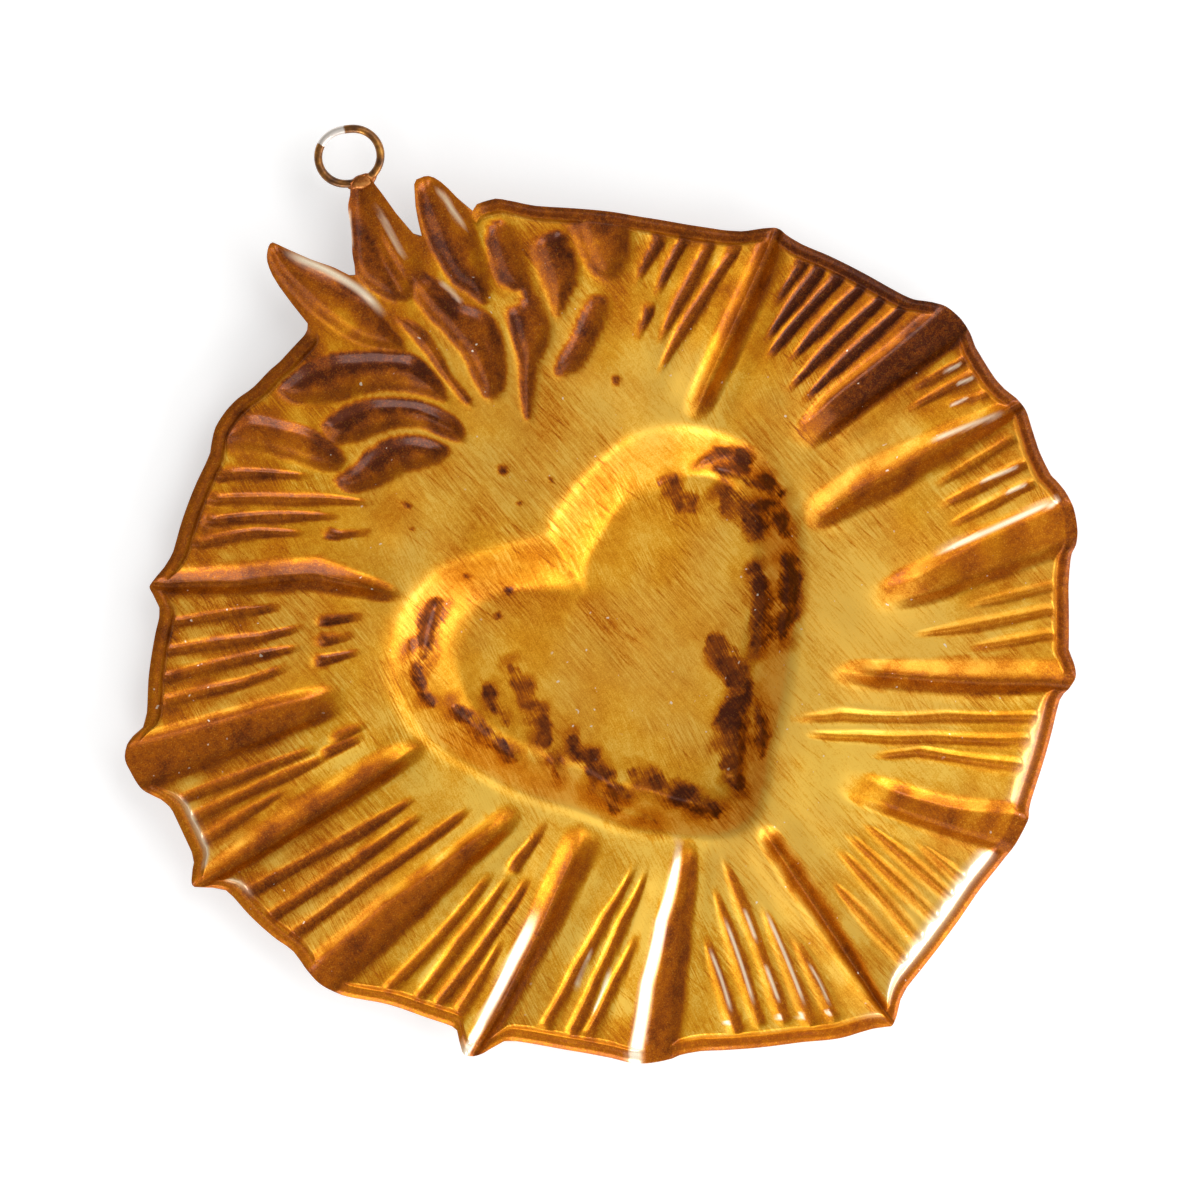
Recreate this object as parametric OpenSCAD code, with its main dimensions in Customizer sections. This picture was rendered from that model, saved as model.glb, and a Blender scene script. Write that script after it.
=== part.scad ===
// Tin ornament: a flaming heart in a halo of rays, pressed into one thin sheet.
// It lies hollow side up on the flat face of the heart.
// +Y runs from the heart's point to the hanging ring, and +Z is up.

/* [Sheet] */
// Width of the sheet across its widest ray tips
sheet_w = 120.2; // [108:0.2:132]
// Thickness of the tin
tin_t = 0.35; // [0.3:0.05:0.5]
// Level of the plain ground over the flat bottom of the heart
heart_depth = 6; // [4:0.5:8]
// Width of the sloping wall round the bottom of the heart
heart_wall_w = 5.5; // [4:0.5:8]

/* [Rim] */
// Width of the band along the edge
rim_band_w = 1.5; // [1:0.1:2]
// Width of the slope from the ground down to the band
rim_wall_w = 0.7; // [0.5:0.1:1]
// How far the band lies below the ground
rim_drop = 1.3; // [0.8:0.1:1.8]
// How far the cut edge curls below the band
rim_curl = 0.2; // [0:0.05:0.4]

/* [Rays and lines] */
// Depth of the wide rays, which have a flat bottom
wide_ray_depth = 1.8; // [1:0.1:2.4]
// Depth of the narrow rays, which come to a crease
narrow_ray_depth = 2.1; // [1:0.1:2.6]
// Width of each side of a wide ray
ray_side_w = 0.9; // [0.6:0.1:1.1]
// Width of a chased line at the rim
line_w = 1.2; // [0.8:0.1:1.3]
// Depth of a chased line
line_depth = 0.6; // [0.3:0.1:0.9]

/* [Flames] */
// Depth of the hollow of a flame
flame_depth = 1.5; // [0.8:0.1:2]
// Width of the snipped end of the middle flame, where the ring is soldered
seat_w = 2.6; // [2:0.1:3]

/* [Hanging ring] */
// Diameter of the wire
wire_d = 1.05; // [0.8:0.05:1.3]
// Radius of the ring's round ends, to the middle of the wire
ring_end_r = 3.4; // [3.2:0.1:4]
// Length of the two straight sides between the round ends
ring_side_l = 1; // [0.6:0.1:2]
// Turn of the ring's longer way from the X axis
ring_turn = -21; // [-30:1:-10]
// How far the middle of the wire lies inside the end of the middle flame
seat_overlap = 0.6; // [0.5:0.05:0.9]
// Lean of the wire where it is soldered, from the X axis
seat_lean = -10; // [-20:1:5]

/* [Solder] */
// Thickness of the solder round the wire
solder_t = 0.4; // [0.3:0.05:0.6]
// Thickness of the solder between the wire and the tin
solder_film = 0.1; // [0.05:0.05:0.2]
// Length of the straight part of the bead along the wire
solder_l = 2.4; // [1.8:0.1:3]

/* [Hidden] */
$fn = 48;

// The tables below are drawn for a sheet 120.2 mm wide, and grow with it
sheet_k = sheet_w / 120.2;
function grown(list, places) = [
    for (row = list)
        [for (i = [0 : len(row) - 1]) search(i, places) == [] ? row[i] : row[i] * sheet_k]
];

// Radii of the two rings of points, inside the rim's, that the rays and lines are drawn through
inner_r = 27 * sheet_k;
mid_r = 38 * sheet_k;
// Least distance from the outline of the heart to the inner ring of points
heart_margin = 1.6;
// Depth of the heart's wall at its outline and halfway down its width
heart_lip = 0.35;
heart_waist = 0.57 * heart_depth;
// Length in which a ray, or a line, comes up to the ground at its inner end
ray_run_out = 5.5;
line_run_out = 3;
// Width of a ray at the inner ring, as a share of its width at mid_r
ray_inner_share = 0.85;
// Share of a ray tip's half width that has its full reach, and the degrees that it spreads beside the ray
tip_flat_share = 0.4;
tip_spread = 1.8;
// Width of a line at mid_r and at the inner ring, as shares of its width at the rim
line_mid_share = 0.8;
line_inner_share = 0.5;
// The most that a line's half width takes of the distance to the next line, and at the inner ring
line_room = 0.42;
line_inner_room = 0.25;
// Width of the ends of a flame's hollow as a share of its middle's, and how steep its walls are
flame_end_share = 0.35;
flame_steepness = 2.1;
// Steps along the middle line of a flame's hollow
FLAME_STEPS = 8;
// Rows of points from the inner ring to mid_r and from there to the rim, of which flame columns have twice as many
HALO_ROWS = [2, 3];
// Places of the rows of points from the ground to the tip of a free flame, as shares of the way
TIP_ROWS = [0.35, 0.6, 0.85];

// Outline of the heart: direction and distance from the middle of the sheet
HEART = grown([
    [-85, 29], [-63, 24], [-35, 22.5], [-14, 24.5], [5, 27.5], [19, 29], [36, 27.5], [51, 24.5],
    [67, 19.5], [83, 15.5], [92, 14], [114, 17], [132, 22.5], [146, 25.5], [157, 26.5], [174, 26],
    [196, 23.5], [224, 22], [252, 25]
], [1]);

// Edge of the sheet without its flames and ray tips: direction and distance from the middle
EDGE = grown([
    [-35, 56.9], [-27, 57.5], [-16, 58.6], [-7, 58.3], [-1, 58.4], [5, 57.8], [13, 57.4],
    [25, 55.3], [38, 54.4], [50, 52.2], [61, 52.9], [70, 54.5], [76, 56.3], [79, 54.5], [86, 53.1],
    [95, 54.9], [104, 54], [110, 53.6], [121, 55.2], [130, 55], [143, 56.1], [153, 57.4],
    [165, 59], [174, 58.9], [181, 58.2], [190, 56.8], [200, 56], [212, 53.3], [222, 52.6],
    [232, 52.1], [246, 53.2], [261, 55.1], [276, 58], [289, 56.5], [304, 56.3], [314, 56.5]
], [1]);

// Rays: direction at the rim, at mid_r and at inner_r, reach of the tip, inner end,
// half width at the rim and inside, and 1 for a flat bottom
RAYS = grown([
    [-35.3, -37.9, -39, 58.5, 28.5, 2.2, 2.3, 0],
    [-16.3, -21, -21.8, 60.1, 33, 3.8, 2.5, 1],
    [-0.7, 0.1, 0.4, 59.3, 28, 1.4, 3.1, 0],
    [12.8, 15.1, 15.5, 59.2, 33.5, 3, 2.3, 1],
    [37.6, 38.3, 39, 55.2, 28.5, 1.6, 1.9, 0],
    [61.3, 62.5, 63, 53, 43.5, 3.8, 2.2, 1],
    [120.8, 117.5, 115.5, 55.8, 40, 2.8, 2.2, 1],
    [143.2, 138.6, 138.5, 57.9, 25.8, 1.3, 2.3, 0],
    [165.3, 163.5, 163.2, 62.6, 33.5, 3.7, 2.3, 1],
    [181.2, 180.6, 180.3, 60.9, 26, 1.3, 2.1, 0],
    [200.3, 204.4, 209.5, 56.7, 24.5, 3, 2.2, 1],
    [222, 226.8, 231.3, 55.6, 23.8, 1.4, 2.3, 0],
    [246.1, 252, 258.5, 53.8, 26.8, 3.1, 2.4, 1],
    [276.2, 277.7, 278.3, 60.3, 30, 1, 1.6, 0],
    [304, 299.1, 298.5, 57.2, 33.5, 3.6, 2.3, 1]
], [3, 4, 5, 6]);

// Lines after each ray: how many, first and last direction at the rim,
// first and last direction at mid_r, first and last inner end
LINES = grown([
    [3, -30, -23.7, -31.8, -26.8, 43.5, 42],
    [3, -10.3, -4.4, -13.1, -7, 43.5, 43.5],
    [3, 2.9, 7.6, 7, 9.4, 49.5, 47],
    [6, 18.5, 32.7, 21, 33, 37.5, 44],
    [4, 42.2, 53, 46, 57, 33.5, 43.5],
    [0, 0, 0, 0, 0, 0, 0],
    [4, 127.6, 137.5, 122.5, 130.7, 41, 38.5],
    [4, 148.3, 158.5, 144.5, 155.3, 40, 40],
    [3, 170.9, 176.8, 170.5, 174.7, 38.5, 43],
    [3, 185.4, 193.5, 188, 196.5, 31.5, 28],
    [4, 208, 218, 211.5, 220.5, 33, 38],
    [3, 228, 236.3, 233.5, 243.5, 28, 36.5],
    [5, 257.8, 270.5, 259.5, 271.5, 38, 42],
    [5, 282.2, 295.3, 283, 292.5, 40, 42],
    [3, 312.3, 319, 307, 314.5, 29, 29]
], [5, 6]);
// The ray that the flames come after
FLAME_GAP = 5;

// Free flames: directions of the right notch, the tip and the left notch, reach of the tip,
// and the fullness of the right and left sides, where 1 is straight and less is rounder
FREE_FLAMES = grown([
    [78.2, 82.8, 85.8, 61.9, 0.7, 0.7],
    [85.8, 88.6, 95.3, 65.2, 1.1, 0.9],
    [95.3, 101, 104.1, 65, 1, 0.35]
], [3]);
// The free flame that carries the ring, and the number of columns up to each corner of the flames' edge
SEAT_FLAME = 1;
FLAME_COLUMNS = [7, 4, 3, 3, 2, 5, 4, 4, 7];

// Hollows of the flames: foot, bend, end and half width
FLAMES = grown([
    [[-5.1, 44.1], [-8.7, 53.7], [-12.3, 63], 3.1],
    [[-2.2, 49], [-0.4, 57.3], [1.5, 64.5], 3.7],
    [[6.9, 44.4], [7.6, 53.3], [8.7, 60.6], 3],
    [[2.2, 32.8], [6.2, 43.8], [1.6, 50.9], 3.2],
    [[4.7, 28.9], [12, 41.1], [14.3, 51.8], 2.6],
    [[14.2, 37.7], [17.8, 43.5], [19.2, 47.1], 2.6],
    [[10.7, 31.7], [16.4, 34.3], [20, 37.2], 2.3],
    [[-2.9, 35.9], [-10.1, 46.9], [-20.9, 46.3], 3],
    [[-3.6, 30.5], [-8.1, 39.8], [-18.2, 39.5], 2.4],
    [[-6.3, 29.9], [-11.5, 33.7], [-19.8, 32.7], 2.5],
    [[-1, 34.2], [-0.3, 42.4], [-2.8, 46.9], 1.4]
], [0, 1, 2, 3]);

function mix(a, b, t) = a + (b - a) * t;
function limit(v) = min(1, max(0, v));
function ease(v) = (1 - cos(180 * limit(v))) / 2;
function polar(r, a) = [r * cos(a), r * sin(a)];
function degrees(w, r) = w / r * 180 / PI;
function steps(a, b, n) = [for (i = [0 : n - 1]) mix(a, b, i / n)];

// A smooth closed curve through points of direction and distance, read at direction a
function knot(list, i) =
    let (n = len(list), turns = floor(i / n), k = list[i - n * turns])
    [k[0] + 360 * turns, k[1]];
function before(list, a, i = 0) = knot(list, i + 1)[0] > a ? i : before(list, a, i + 1);
function curve_r(list, a) =
    let (
        b = a - 360 * floor((a - list[0][0]) / 360),
        i = before(list, b),
        p = knot(list, i - 1),
        q = knot(list, i),
        r = knot(list, i + 1),
        s = knot(list, i + 2),
        w = r[0] - q[0],
        t = (b - q[0]) / w,
        m = (r[1] - p[1]) / (r[0] - p[0]) * w,
        n = (s[1] - q[1]) / (s[0] - q[0]) * w
    )
    (2 * t ^ 3 - 3 * t ^ 2 + 1) * q[1] + (t ^ 3 - 2 * t ^ 2 + t) * m
    + (3 * t ^ 2 - 2 * t ^ 3) * r[1] + (t ^ 3 - t ^ 2) * n;

// Reach of the edge at direction a, with the ray tips and the free flames
function turn_to(a, b) = abs((a - b + 540) % 360 - 180);
function ray_bump(a, ray) =
    let (half = degrees(ray[5], ray[3]), off = turn_to(a, ray[0]))
    (ray[3] - curve_r(EDGE, ray[0]))
    * (1 - ease((off - half * tip_flat_share) / (half * (1 - tip_flat_share) + tip_spread)));
function flame_side(a, notch, tip, reach, fullness) =
    mix(curve_r(EDGE, notch), reach, limit((a - notch) / (tip - notch)) ^ fullness);
function seat_half() = degrees(seat_w / 2, FREE_FLAMES[SEAT_FLAME][3]);
function flame_reach(a, flame, blunt) =
    a < flame[1] - blunt ? flame_side(a, flame[0], flame[1] - blunt, flame[3], flame[4])
    : a > flame[1] + blunt ? flame_side(a, flame[2], flame[1] + blunt, flame[3], flame[5])
    : flame[3];
function in_flame(a) = [
    for (i = [0 : len(FREE_FLAMES) - 1])
        if (a > FREE_FLAMES[i][0] && a < FREE_FLAMES[i][2]) i
];
function edge_r(a) =
    let (i = in_flame(a))
    len(i) > 0 ? flame_reach(a, FREE_FLAMES[i[0]], i[0] == SEAT_FLAME ? seat_half() : 0)
    : curve_r(EDGE, a) + max([for (ray = RAYS) ray_bump(a, ray)]);

// A station is a line from the rim to the heart: its direction at the rim, at mid_r and at
// inner_r, its depth below the ground, the distance at which that depth ends, and the length
// of its run-out. Flame stations have no run-out, and get closer rows of points.
function ray_station(ray, share, depth) = [
    ray[0] + degrees(share * ray[5], ray[3]),
    ray[1] + degrees(share * ray[6], mid_r),
    ray[2] + degrees(share * ray[6] * ray_inner_share, inner_r),
    depth,
    ray[4],
    ray_run_out
];
function ray_stations(ray) =
    let (bottom = 1 - ray_side_w / ray[5])
    let (shares = ray[7] == 1 ? [-1, -bottom, bottom, 1] : [-1, 0, 1])
    let (depth = ray[7] == 1 ? wide_ray_depth : narrow_ray_depth)
    [for (share = shares) ray_station(ray, share, abs(share) == 1 ? 0 : depth)];
// Half width of a line, or less where its row of lines from direction a to b is crowded
function line_half(n, a, b, w, r) = min(degrees(w / 2, r), (b - a) / (n - 1) * line_room);
function line_stations(row, from, to) = [
    for (i = [0 : row[0] - 1], side = [-1, 0, 1])
        let (share = i / (row[0] - 1), even = (i + 1) / (row[0] + 1))
        let (room = (to - from) / (row[0] + 1))
        let (rim = line_half(row[0], row[1], row[2], line_w, curve_r(EDGE, row[1])))
        let (mid = line_half(row[0], row[3], row[4], line_w * line_mid_share, mid_r))
        let (inner = min(room * line_inner_room, degrees(line_w * line_inner_share / 2, inner_r)))
        [
            mix(row[1], row[2], share) + side * rim,
            mix(row[3], row[4], share) + side * mid,
            mix(from, to, even) + side * inner,
            side == 0 ? line_depth : 0,
            mix(row[5], row[6], share),
            line_run_out
        ]
];
function flame_stations(from, to) =
    let (a = FREE_FLAMES, s = seat_half(), n = FLAME_COLUMNS)
    let (
        rim = concat(
            steps(from[0], a[0][0], n[0]),
            steps(a[0][0], a[0][1], n[1]),
            steps(a[0][1], a[0][2], n[2]),
            steps(a[1][0], a[1][1] - s, n[3]),
            steps(a[1][1] - s, a[1][1] + s, n[4]),
            steps(a[1][1] + s, a[1][2], n[5]),
            steps(a[2][0], a[2][1], n[6]),
            steps(a[2][1], a[2][2], n[7]),
            steps(a[2][2], to[0], n[8])
        )
    )
    [
        for (i = [1 : len(rim) - 1])
            let (share = (rim[i] - from[0]) / (to[0] - from[0]))
            [rim[i], mix(from[1], to[1], share), mix(from[2], to[2], share), 0, 0, 0]
    ];
function after_ray(i) =
    let (here = ray_stations(RAYS[i]), next = ray_stations(RAYS[(i + 1) % len(RAYS)])[0])
    let (from = here[len(here) - 1], turn = i == len(RAYS) - 1 ? 360 : 0)
    i == FLAME_GAP ? flame_stations(from, next)
    : line_stations(LINES[i], from[2], next[2] + turn);
STATIONS = [
    for (i = [0 : len(RAYS) - 1])
        each concat(ray_stations(RAYS[i]), after_ray(i))
];
station_n = len(STATIONS);

// Depth of a flame's hollow at a point: a dish along a bent middle line
function bend_at(f, u) = f[0] * (1 - u) ^ 2 + f[1] * 2 * u * (1 - u) + f[2] * u ^ 2;
function dish(f, p) =
    let (
        far = [for (i = [0 : FLAME_STEPS]) norm(p - bend_at(f, i / FLAME_STEPS))],
        near = min(far),
        u = search(near, far)[0] / FLAME_STEPS,
        half = f[3] * mix(flame_end_share, 1, sin(180 * u))
    )
    flame_depth * ease(flame_steepness * (1 - near / half));
function flame_hollow(p) = max([for (f = FLAMES) dish(f, p)]);

// Columns of points from the floor of the heart to the cut edge, one for each station
ground = heart_depth + tin_t;
function carved(s, p) =
    let (stroke = s[3] > 0 ? s[3] * ease((norm(p) - s[4]) / s[5]) : 0)
    [p[0], p[1], ground - max(stroke, flame_hollow(p))];
function lowered(p, z) = [p[0], p[1], min(p[2], z)];
function heart_points(s) =
    let (heart = curve_r(HEART, s[2]))
    [
        concat(polar(heart - heart_wall_w, s[2]), [tin_t]),
        concat(polar(heart - heart_wall_w / 2, s[2]), [ground - heart_waist]),
        concat(polar(heart, s[2]), [ground - heart_lip])
    ];
function halo_points(s) =
    let (
        q = polar(max(inner_r, curve_r(HEART, s[2]) + heart_margin), s[2]),
        m = polar(mid_r, s[1]),
        p = polar(curve_r(EDGE, s[0]) - rim_band_w - rim_wall_w, s[0]),
        n = HALO_ROWS * (s[5] == 0 ? 2 : 1)
    )
    concat(
        [for (i = [0 : n[0] - 1]) carved(s, mix(q, m, i / n[0]))],
        [for (i = [0 : n[1]]) carved(s, mix(m, p, i / n[1]))]
    );
function is_free(a) = a >= FREE_FLAMES[0][0] && a <= FREE_FLAMES[2][2];
function rim_points(s) =
    let (
        out = edge_r(s[0]),
        from = curve_r(EDGE, s[0]) - rim_band_w - rim_wall_w,
        foot = out - rim_band_w,
        band = ground - rim_drop,
        tip = [for (share = TIP_ROWS) carved(s, polar(mix(from, out, share), s[0]))],
        slope = carved(s, polar(mix(from, foot, 0.5), s[0])),
        middle = lowered(carved(s, polar(out - rim_band_w / 2, s[0])), band),
        edge = lowered(carved(s, polar(out, s[0])), band - rim_curl)
    )
    is_free(s[0]) ? concat(tip, [concat(polar(out, s[0]), [ground])])
    : s[5] == 0 ? [
        lowered(slope, ground - rim_drop / 2),
        lowered(carved(s, polar(foot, s[0])), band),
        middle,
        edge
    ]
    : [lowered(carved(s, polar(foot, s[0])), band), edge];
COLUMNS = [for (s = STATIONS) concat(heart_points(s), halo_points(s), rim_points(s))];

// Where each row of a plain column lies in a flame column, which has more rows
MATCH = [0, 1, 2, 3, 5, 7, 9, 11, 13, 15, 17];
function is_close(i) = len(COLUMNS[i % station_n]) > len(MATCH);
FIRSTS = [
    for (i = 0, n = 1; i < station_n; n = n + len(COLUMNS[i]), i = i + 1) n
];
function row_at(i, j, close) = FIRSTS[i % station_n] + (!close && is_close(i) ? MATCH[j] : j);

// Faces between two neighbouring columns, from the middle of the sheet to the cut edge
function strip(i) =
    let (both = is_close(i) && is_close(i + 1), rows = both ? MATCH[len(MATCH) - 1] : len(MATCH) - 1)
    concat(
        [[0, row_at(i + 1, 0, both), row_at(i, 0, both)]],
        [
            for (j = [0 : rows - 1])
                let (a = [row_at(i, j, both), row_at(i, j + 1, both)])
                let (b = [row_at(i + 1, j, both), row_at(i + 1, j + 1, both)])
                each concat(
                    [for (k = [b[0] : b[1] - 1]) [a[0], k, k + 1]],
                    [for (k = [a[0] : a[1] - 1]) [b[1], k + 1, k]]
                )
        ]
    );
function edge_point(i) = FIRSTS[i % station_n] + len(COLUMNS[i % station_n]) - 1;
function cut_edge(shift) = [
    for (i = [0 : station_n - 1])
        let (a = edge_point(i), b = edge_point(i + 1))
        each [[a, b, b + shift], [a, b + shift, a + shift]]
];

// The ring's wire passes under the snipped end of the middle flame
seat_flame = FREE_FLAMES[SEAT_FLAME];
seat = polar(seat_flame[3] - seat_overlap, seat_flame[1]);
ring_end = polar(ring_side_l / 2, ring_turn);
ring_mid = seat - polar(ring_end_r, seat_lean - 90) - ring_end;
wire_z = heart_depth - solder_film - wire_d / 2;

// The middle of the part's own box, which is where the origin lies
edge_x = [for (c = COLUMNS) c[len(c) - 1][0]];
edge_y = [for (c = COLUMNS) c[len(c) - 1][1]];
ring_top = ring_mid[1] + abs(ring_end[1]) + ring_end_r + wire_d / 2;
middle = [(min(edge_x) + max(edge_x)) / 2, (min(edge_y) + ring_top) / 2];

module centred() {
    translate([-middle[0], -middle[1], 0])
        children();
}

module wire() {
    translate([ring_mid[0], ring_mid[1], wire_z])
        rotate([0, 0, ring_turn])
            for (side = [0, 180])
                rotate([0, 0, side]) {
                    translate([ring_side_l / 2, 0, 0])
                        rotate([0, 0, -90])
                            rotate_extrude(angle = 180)
                                translate([ring_end_r, 0])
                                    circle(d = wire_d);
                    translate([-ring_side_l / 2, ring_end_r, 0])
                        rotate([0, 90, 0])
                            cylinder(d = wire_d, h = ring_side_l);
                }
}

// The sheet is as thick everywhere as tin_t, measured straight down
module embossed_sheet() {
    top = concat([[0, 0, tin_t]], [for (c = COLUMNS) each c]);
    n = len(top);
    upper = [for (i = [0 : station_n - 1]) each strip(i)];
    lower = [for (f = upper) [f[2] + n, f[1] + n, f[0] + n]];
    color([0.78, 0.58, 0.27])
        centred()
            polyhedron(
                points = concat(top, [for (p = top) p - [0, 0, tin_t]]),
                faces = concat(upper, lower, cut_edge(n))
            );
}

module hanging_ring() {
    color([0.5, 0.33, 0.14])
        centred()
            wire();
}

// A bead round the wire, flat where it meets the underside of the flame
module solder_bead() {
    bead_r = wire_d / 2 + solder_t;
    color([0.8, 0.75, 0.62])
        centred()
            difference() {
                translate([seat[0], seat[1], wire_z])
                    rotate([0, 0, seat_lean])
                        intersection() {
                            bead_form(bead_r);
                            translate([-solder_l, -2 * bead_r, -2 * bead_r])
                                cube([2 * solder_l, 4 * bead_r, 2 * bead_r + heart_depth - wire_z]);
                        }
                wire();
            }
}

module bead_form(r) {
    rotate([0, 90, 0])
        cylinder(r = r, h = solder_l, center = true);
    for (side = [-1, 1])
        translate([side * solder_l / 2, 0, 0])
            sphere(r = r);
}

embossed_sheet();
hanging_ring();
solder_bead();
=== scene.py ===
import math

import bpy
import numpy as np
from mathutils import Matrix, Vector


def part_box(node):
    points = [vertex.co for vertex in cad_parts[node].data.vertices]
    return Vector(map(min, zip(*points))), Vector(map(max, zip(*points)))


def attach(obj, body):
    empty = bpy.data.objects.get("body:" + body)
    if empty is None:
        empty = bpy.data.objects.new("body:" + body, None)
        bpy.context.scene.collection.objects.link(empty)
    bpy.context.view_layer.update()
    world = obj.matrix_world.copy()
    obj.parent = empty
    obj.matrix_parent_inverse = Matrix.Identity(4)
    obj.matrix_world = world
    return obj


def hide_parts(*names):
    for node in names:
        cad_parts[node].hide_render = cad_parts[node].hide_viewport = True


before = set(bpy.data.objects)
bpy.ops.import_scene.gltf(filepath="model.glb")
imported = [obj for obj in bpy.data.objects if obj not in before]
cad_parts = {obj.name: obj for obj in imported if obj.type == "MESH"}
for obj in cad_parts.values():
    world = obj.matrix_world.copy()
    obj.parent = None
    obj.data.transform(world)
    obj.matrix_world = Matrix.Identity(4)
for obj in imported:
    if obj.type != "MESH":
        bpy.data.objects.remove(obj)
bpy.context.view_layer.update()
print("frame loaded:", sorted(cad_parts))

mm = 0.001
viewTurn = 30.0        # degrees that the camera is turned: a direction in its picture less this is the part's
pxPerMm = 8.0          # the sheet's tables are in picture pixels and in picture directions from its middle
sheetMiddle = np.array([0.797, -6.14])          # in the part's frame, mm
pictureMiddle = np.array([610.0, 635.0])        # in the picture, pixels


def smooth(t):
    # 3t^2 - 2t^3 on 0..1, flat outside
    t = np.clip(t, 0.0, 1.0)
    return t * t * (3.0 - 2.0 * t)


def between(t, a, b):
    # 0 at a, 1 at b, eased
    return smooth((t - a) / (b - a))


def arc(theta, name):
    # 0 before the first direction of the named arc, 1 from the second to the third, 0 after the fourth
    a, b, c, d = arcs[name]
    return between(theta, a, b) * (1 - between(theta, c, d))


def ramp(t, ease):
    # 0..1 in a straight slope, rounded over the first and last share ease of it
    t = np.clip(t, 0.0, 1.0)
    foot = np.minimum(t, 1 - t)
    rise = np.where(foot < ease, foot * foot / (2 * ease), foot - ease / 2) / (1 - ease)
    return np.where(t < 0.5, rise, 1 - rise)


def turned(delta):
    # a difference of directions brought to -180..180
    return (delta + 180.0) % 360.0 - 180.0


def softMax(a, b, k):
    # (a + b + sqrt((a - b)^2 + k^2) - k) / 2, the larger of the two with a rounded meeting
    return 0.5 * (a + b + np.sqrt((a - b) ** 2 + k * k) - k)


def easeCurve(xs, ys, x):
    # a smooth curve through points without overshoot: cubic Hermite with harmonic-mean slopes
    xs, ys = np.asarray(xs, float), np.asarray(ys, float)
    h = np.diff(xs)
    d = np.diff(ys) / h
    m = np.zeros(len(xs))
    same = d[:-1] * d[1:] > 0
    w1, w2 = 2 * h[1:] + h[:-1], h[1:] + 2 * h[:-1]
    safe = np.where(same, d[:-1], 1.0), np.where(same, d[1:], 1.0)
    m[1:-1] = np.where(same, (w1 + w2) / (w1 / safe[0] + w2 / safe[1]), 0.0)
    m[0], m[-1] = d[0], d[-1]
    i = np.clip(np.searchsorted(xs, x) - 1, 0, len(xs) - 2)
    t = np.clip((x - xs[i]) / h[i], 0.0, 1.0)
    a, b = 2 * t**3 - 3 * t**2 + 1, t**3 - 2 * t**2 + t
    return a * ys[i] + b * h[i] * m[i] + (1 - a) * ys[i + 1] + (t**3 - t**2) * h[i] * m[i + 1]


def roundCurve(points, theta):
    # easeCurve round the full circle, for a list of (direction, distance)
    p = np.array(sorted(points), float)
    xs = np.concatenate([p[-6:, 0] - 360, p[:, 0], p[:6, 0] + 360])
    ys = np.concatenate([p[-6:, 1], p[:, 1], p[:6, 1]])
    start = p[0, 0]
    return easeCurve(xs, ys, (theta - start) % 360.0 + start)


def wander(x, y, scale, seed):
    # a smooth uneven field between about -1 and 1: eight sine waves of random direction and phase
    rng = np.random.default_rng(seed)
    out = np.zeros_like(x)
    for _ in range(8):
        a, f, p = rng.uniform(0, math.pi), rng.uniform(0.6, 1.7) / scale, rng.uniform(0, 2 * math.pi)
        out += np.sin((x * math.cos(a) + y * math.sin(a)) * f * 2 * math.pi + p)
    return out / 3.2


def lineDistance(x, y, path, closed=False):
    # distance of each point to a path of straight pieces, and how far along the path it is, 0..1
    path = np.asarray(path, float)
    if closed:
        path = np.vstack([path, path[:1]])
    seg = np.diff(path, axis=0)
    length = np.hypot(seg[:, 0], seg[:, 1])
    run = np.concatenate([[0.0], np.cumsum(length)])
    best = np.full(x.shape, 1e9)
    where = np.zeros(x.shape)
    for (px, py), (sx, sy), l, r in zip(path[:-1], seg, length, run[:-1]):
        t = np.clip(((x - px) * sx + (y - py) * sy) / (l * l), 0, 1)
        d = np.hypot(x - px - t * sx, y - py - t * sy)
        closer = d < best
        best = np.where(closer, d, best)
        where = np.where(closer, (r + t * l) / run[-1], where)
    return best, where


def insideOf(x, y, path):
    # True where the point lies inside the closed path: an odd number of edges cross the ray to its right
    path = np.asarray(path, float)
    inside = np.zeros(x.shape, bool)
    for (ax, ay), (bx, by) in zip(path, np.roll(path, -1, axis=0)):
        if ay != by:
            cross = (ay > y) != (by > y)
            inside ^= cross & (x < (bx - ax) * (y - ay) / (by - ay) + ax)
    return inside


def rounded(points, times=5, closed=True):
    # Catmull-Rom curve through the points
    p = np.asarray(points, float)
    n = len(p)
    out = []
    last = n if closed else n - 1
    for i in range(last):
        a, b = p[(i - 1) % n if closed else max(i - 1, 0)], p[i]
        c, d = p[(i + 1) % n if closed else i + 1], p[(i + 2) % n if closed else min(i + 2, n - 1)]
        t = (np.arange(times) / times)[:, None]
        square, cube = 2 * a - 5 * b + 4 * c - d, 3 * b - a - 3 * c + d
        out.append(0.5 * (2 * b + (c - a) * t + square * t**2 + cube * t**3))
    if not closed:
        out.append(p[-1:])
    return np.vstack(out)


def toSheet(points):
    # picture pixels to millimetres from the sheet's middle, in the picture's directions
    p = np.asarray(points, float)
    return np.stack([(p[:, 0] - pictureMiddle[0]) / pxPerMm, (pictureMiddle[1] - p[:, 1]) / pxPerMm], axis=1)


def alongPath(x, y, points):
    # distance to a smooth curve through picture pixels, and how far along it, 0..1
    return lineDistance(x, y, rounded(toSheet(points), closed=False))


def toPart(x, y):
    # millimetres in the picture's directions to the part's frame: turned by -viewTurn, then moved
    c, s = math.cos(math.radians(viewTurn)), math.sin(math.radians(viewTurn))
    return x * c + y * s + sheetMiddle[0], -x * s + y * c + sheetMiddle[1]


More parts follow.
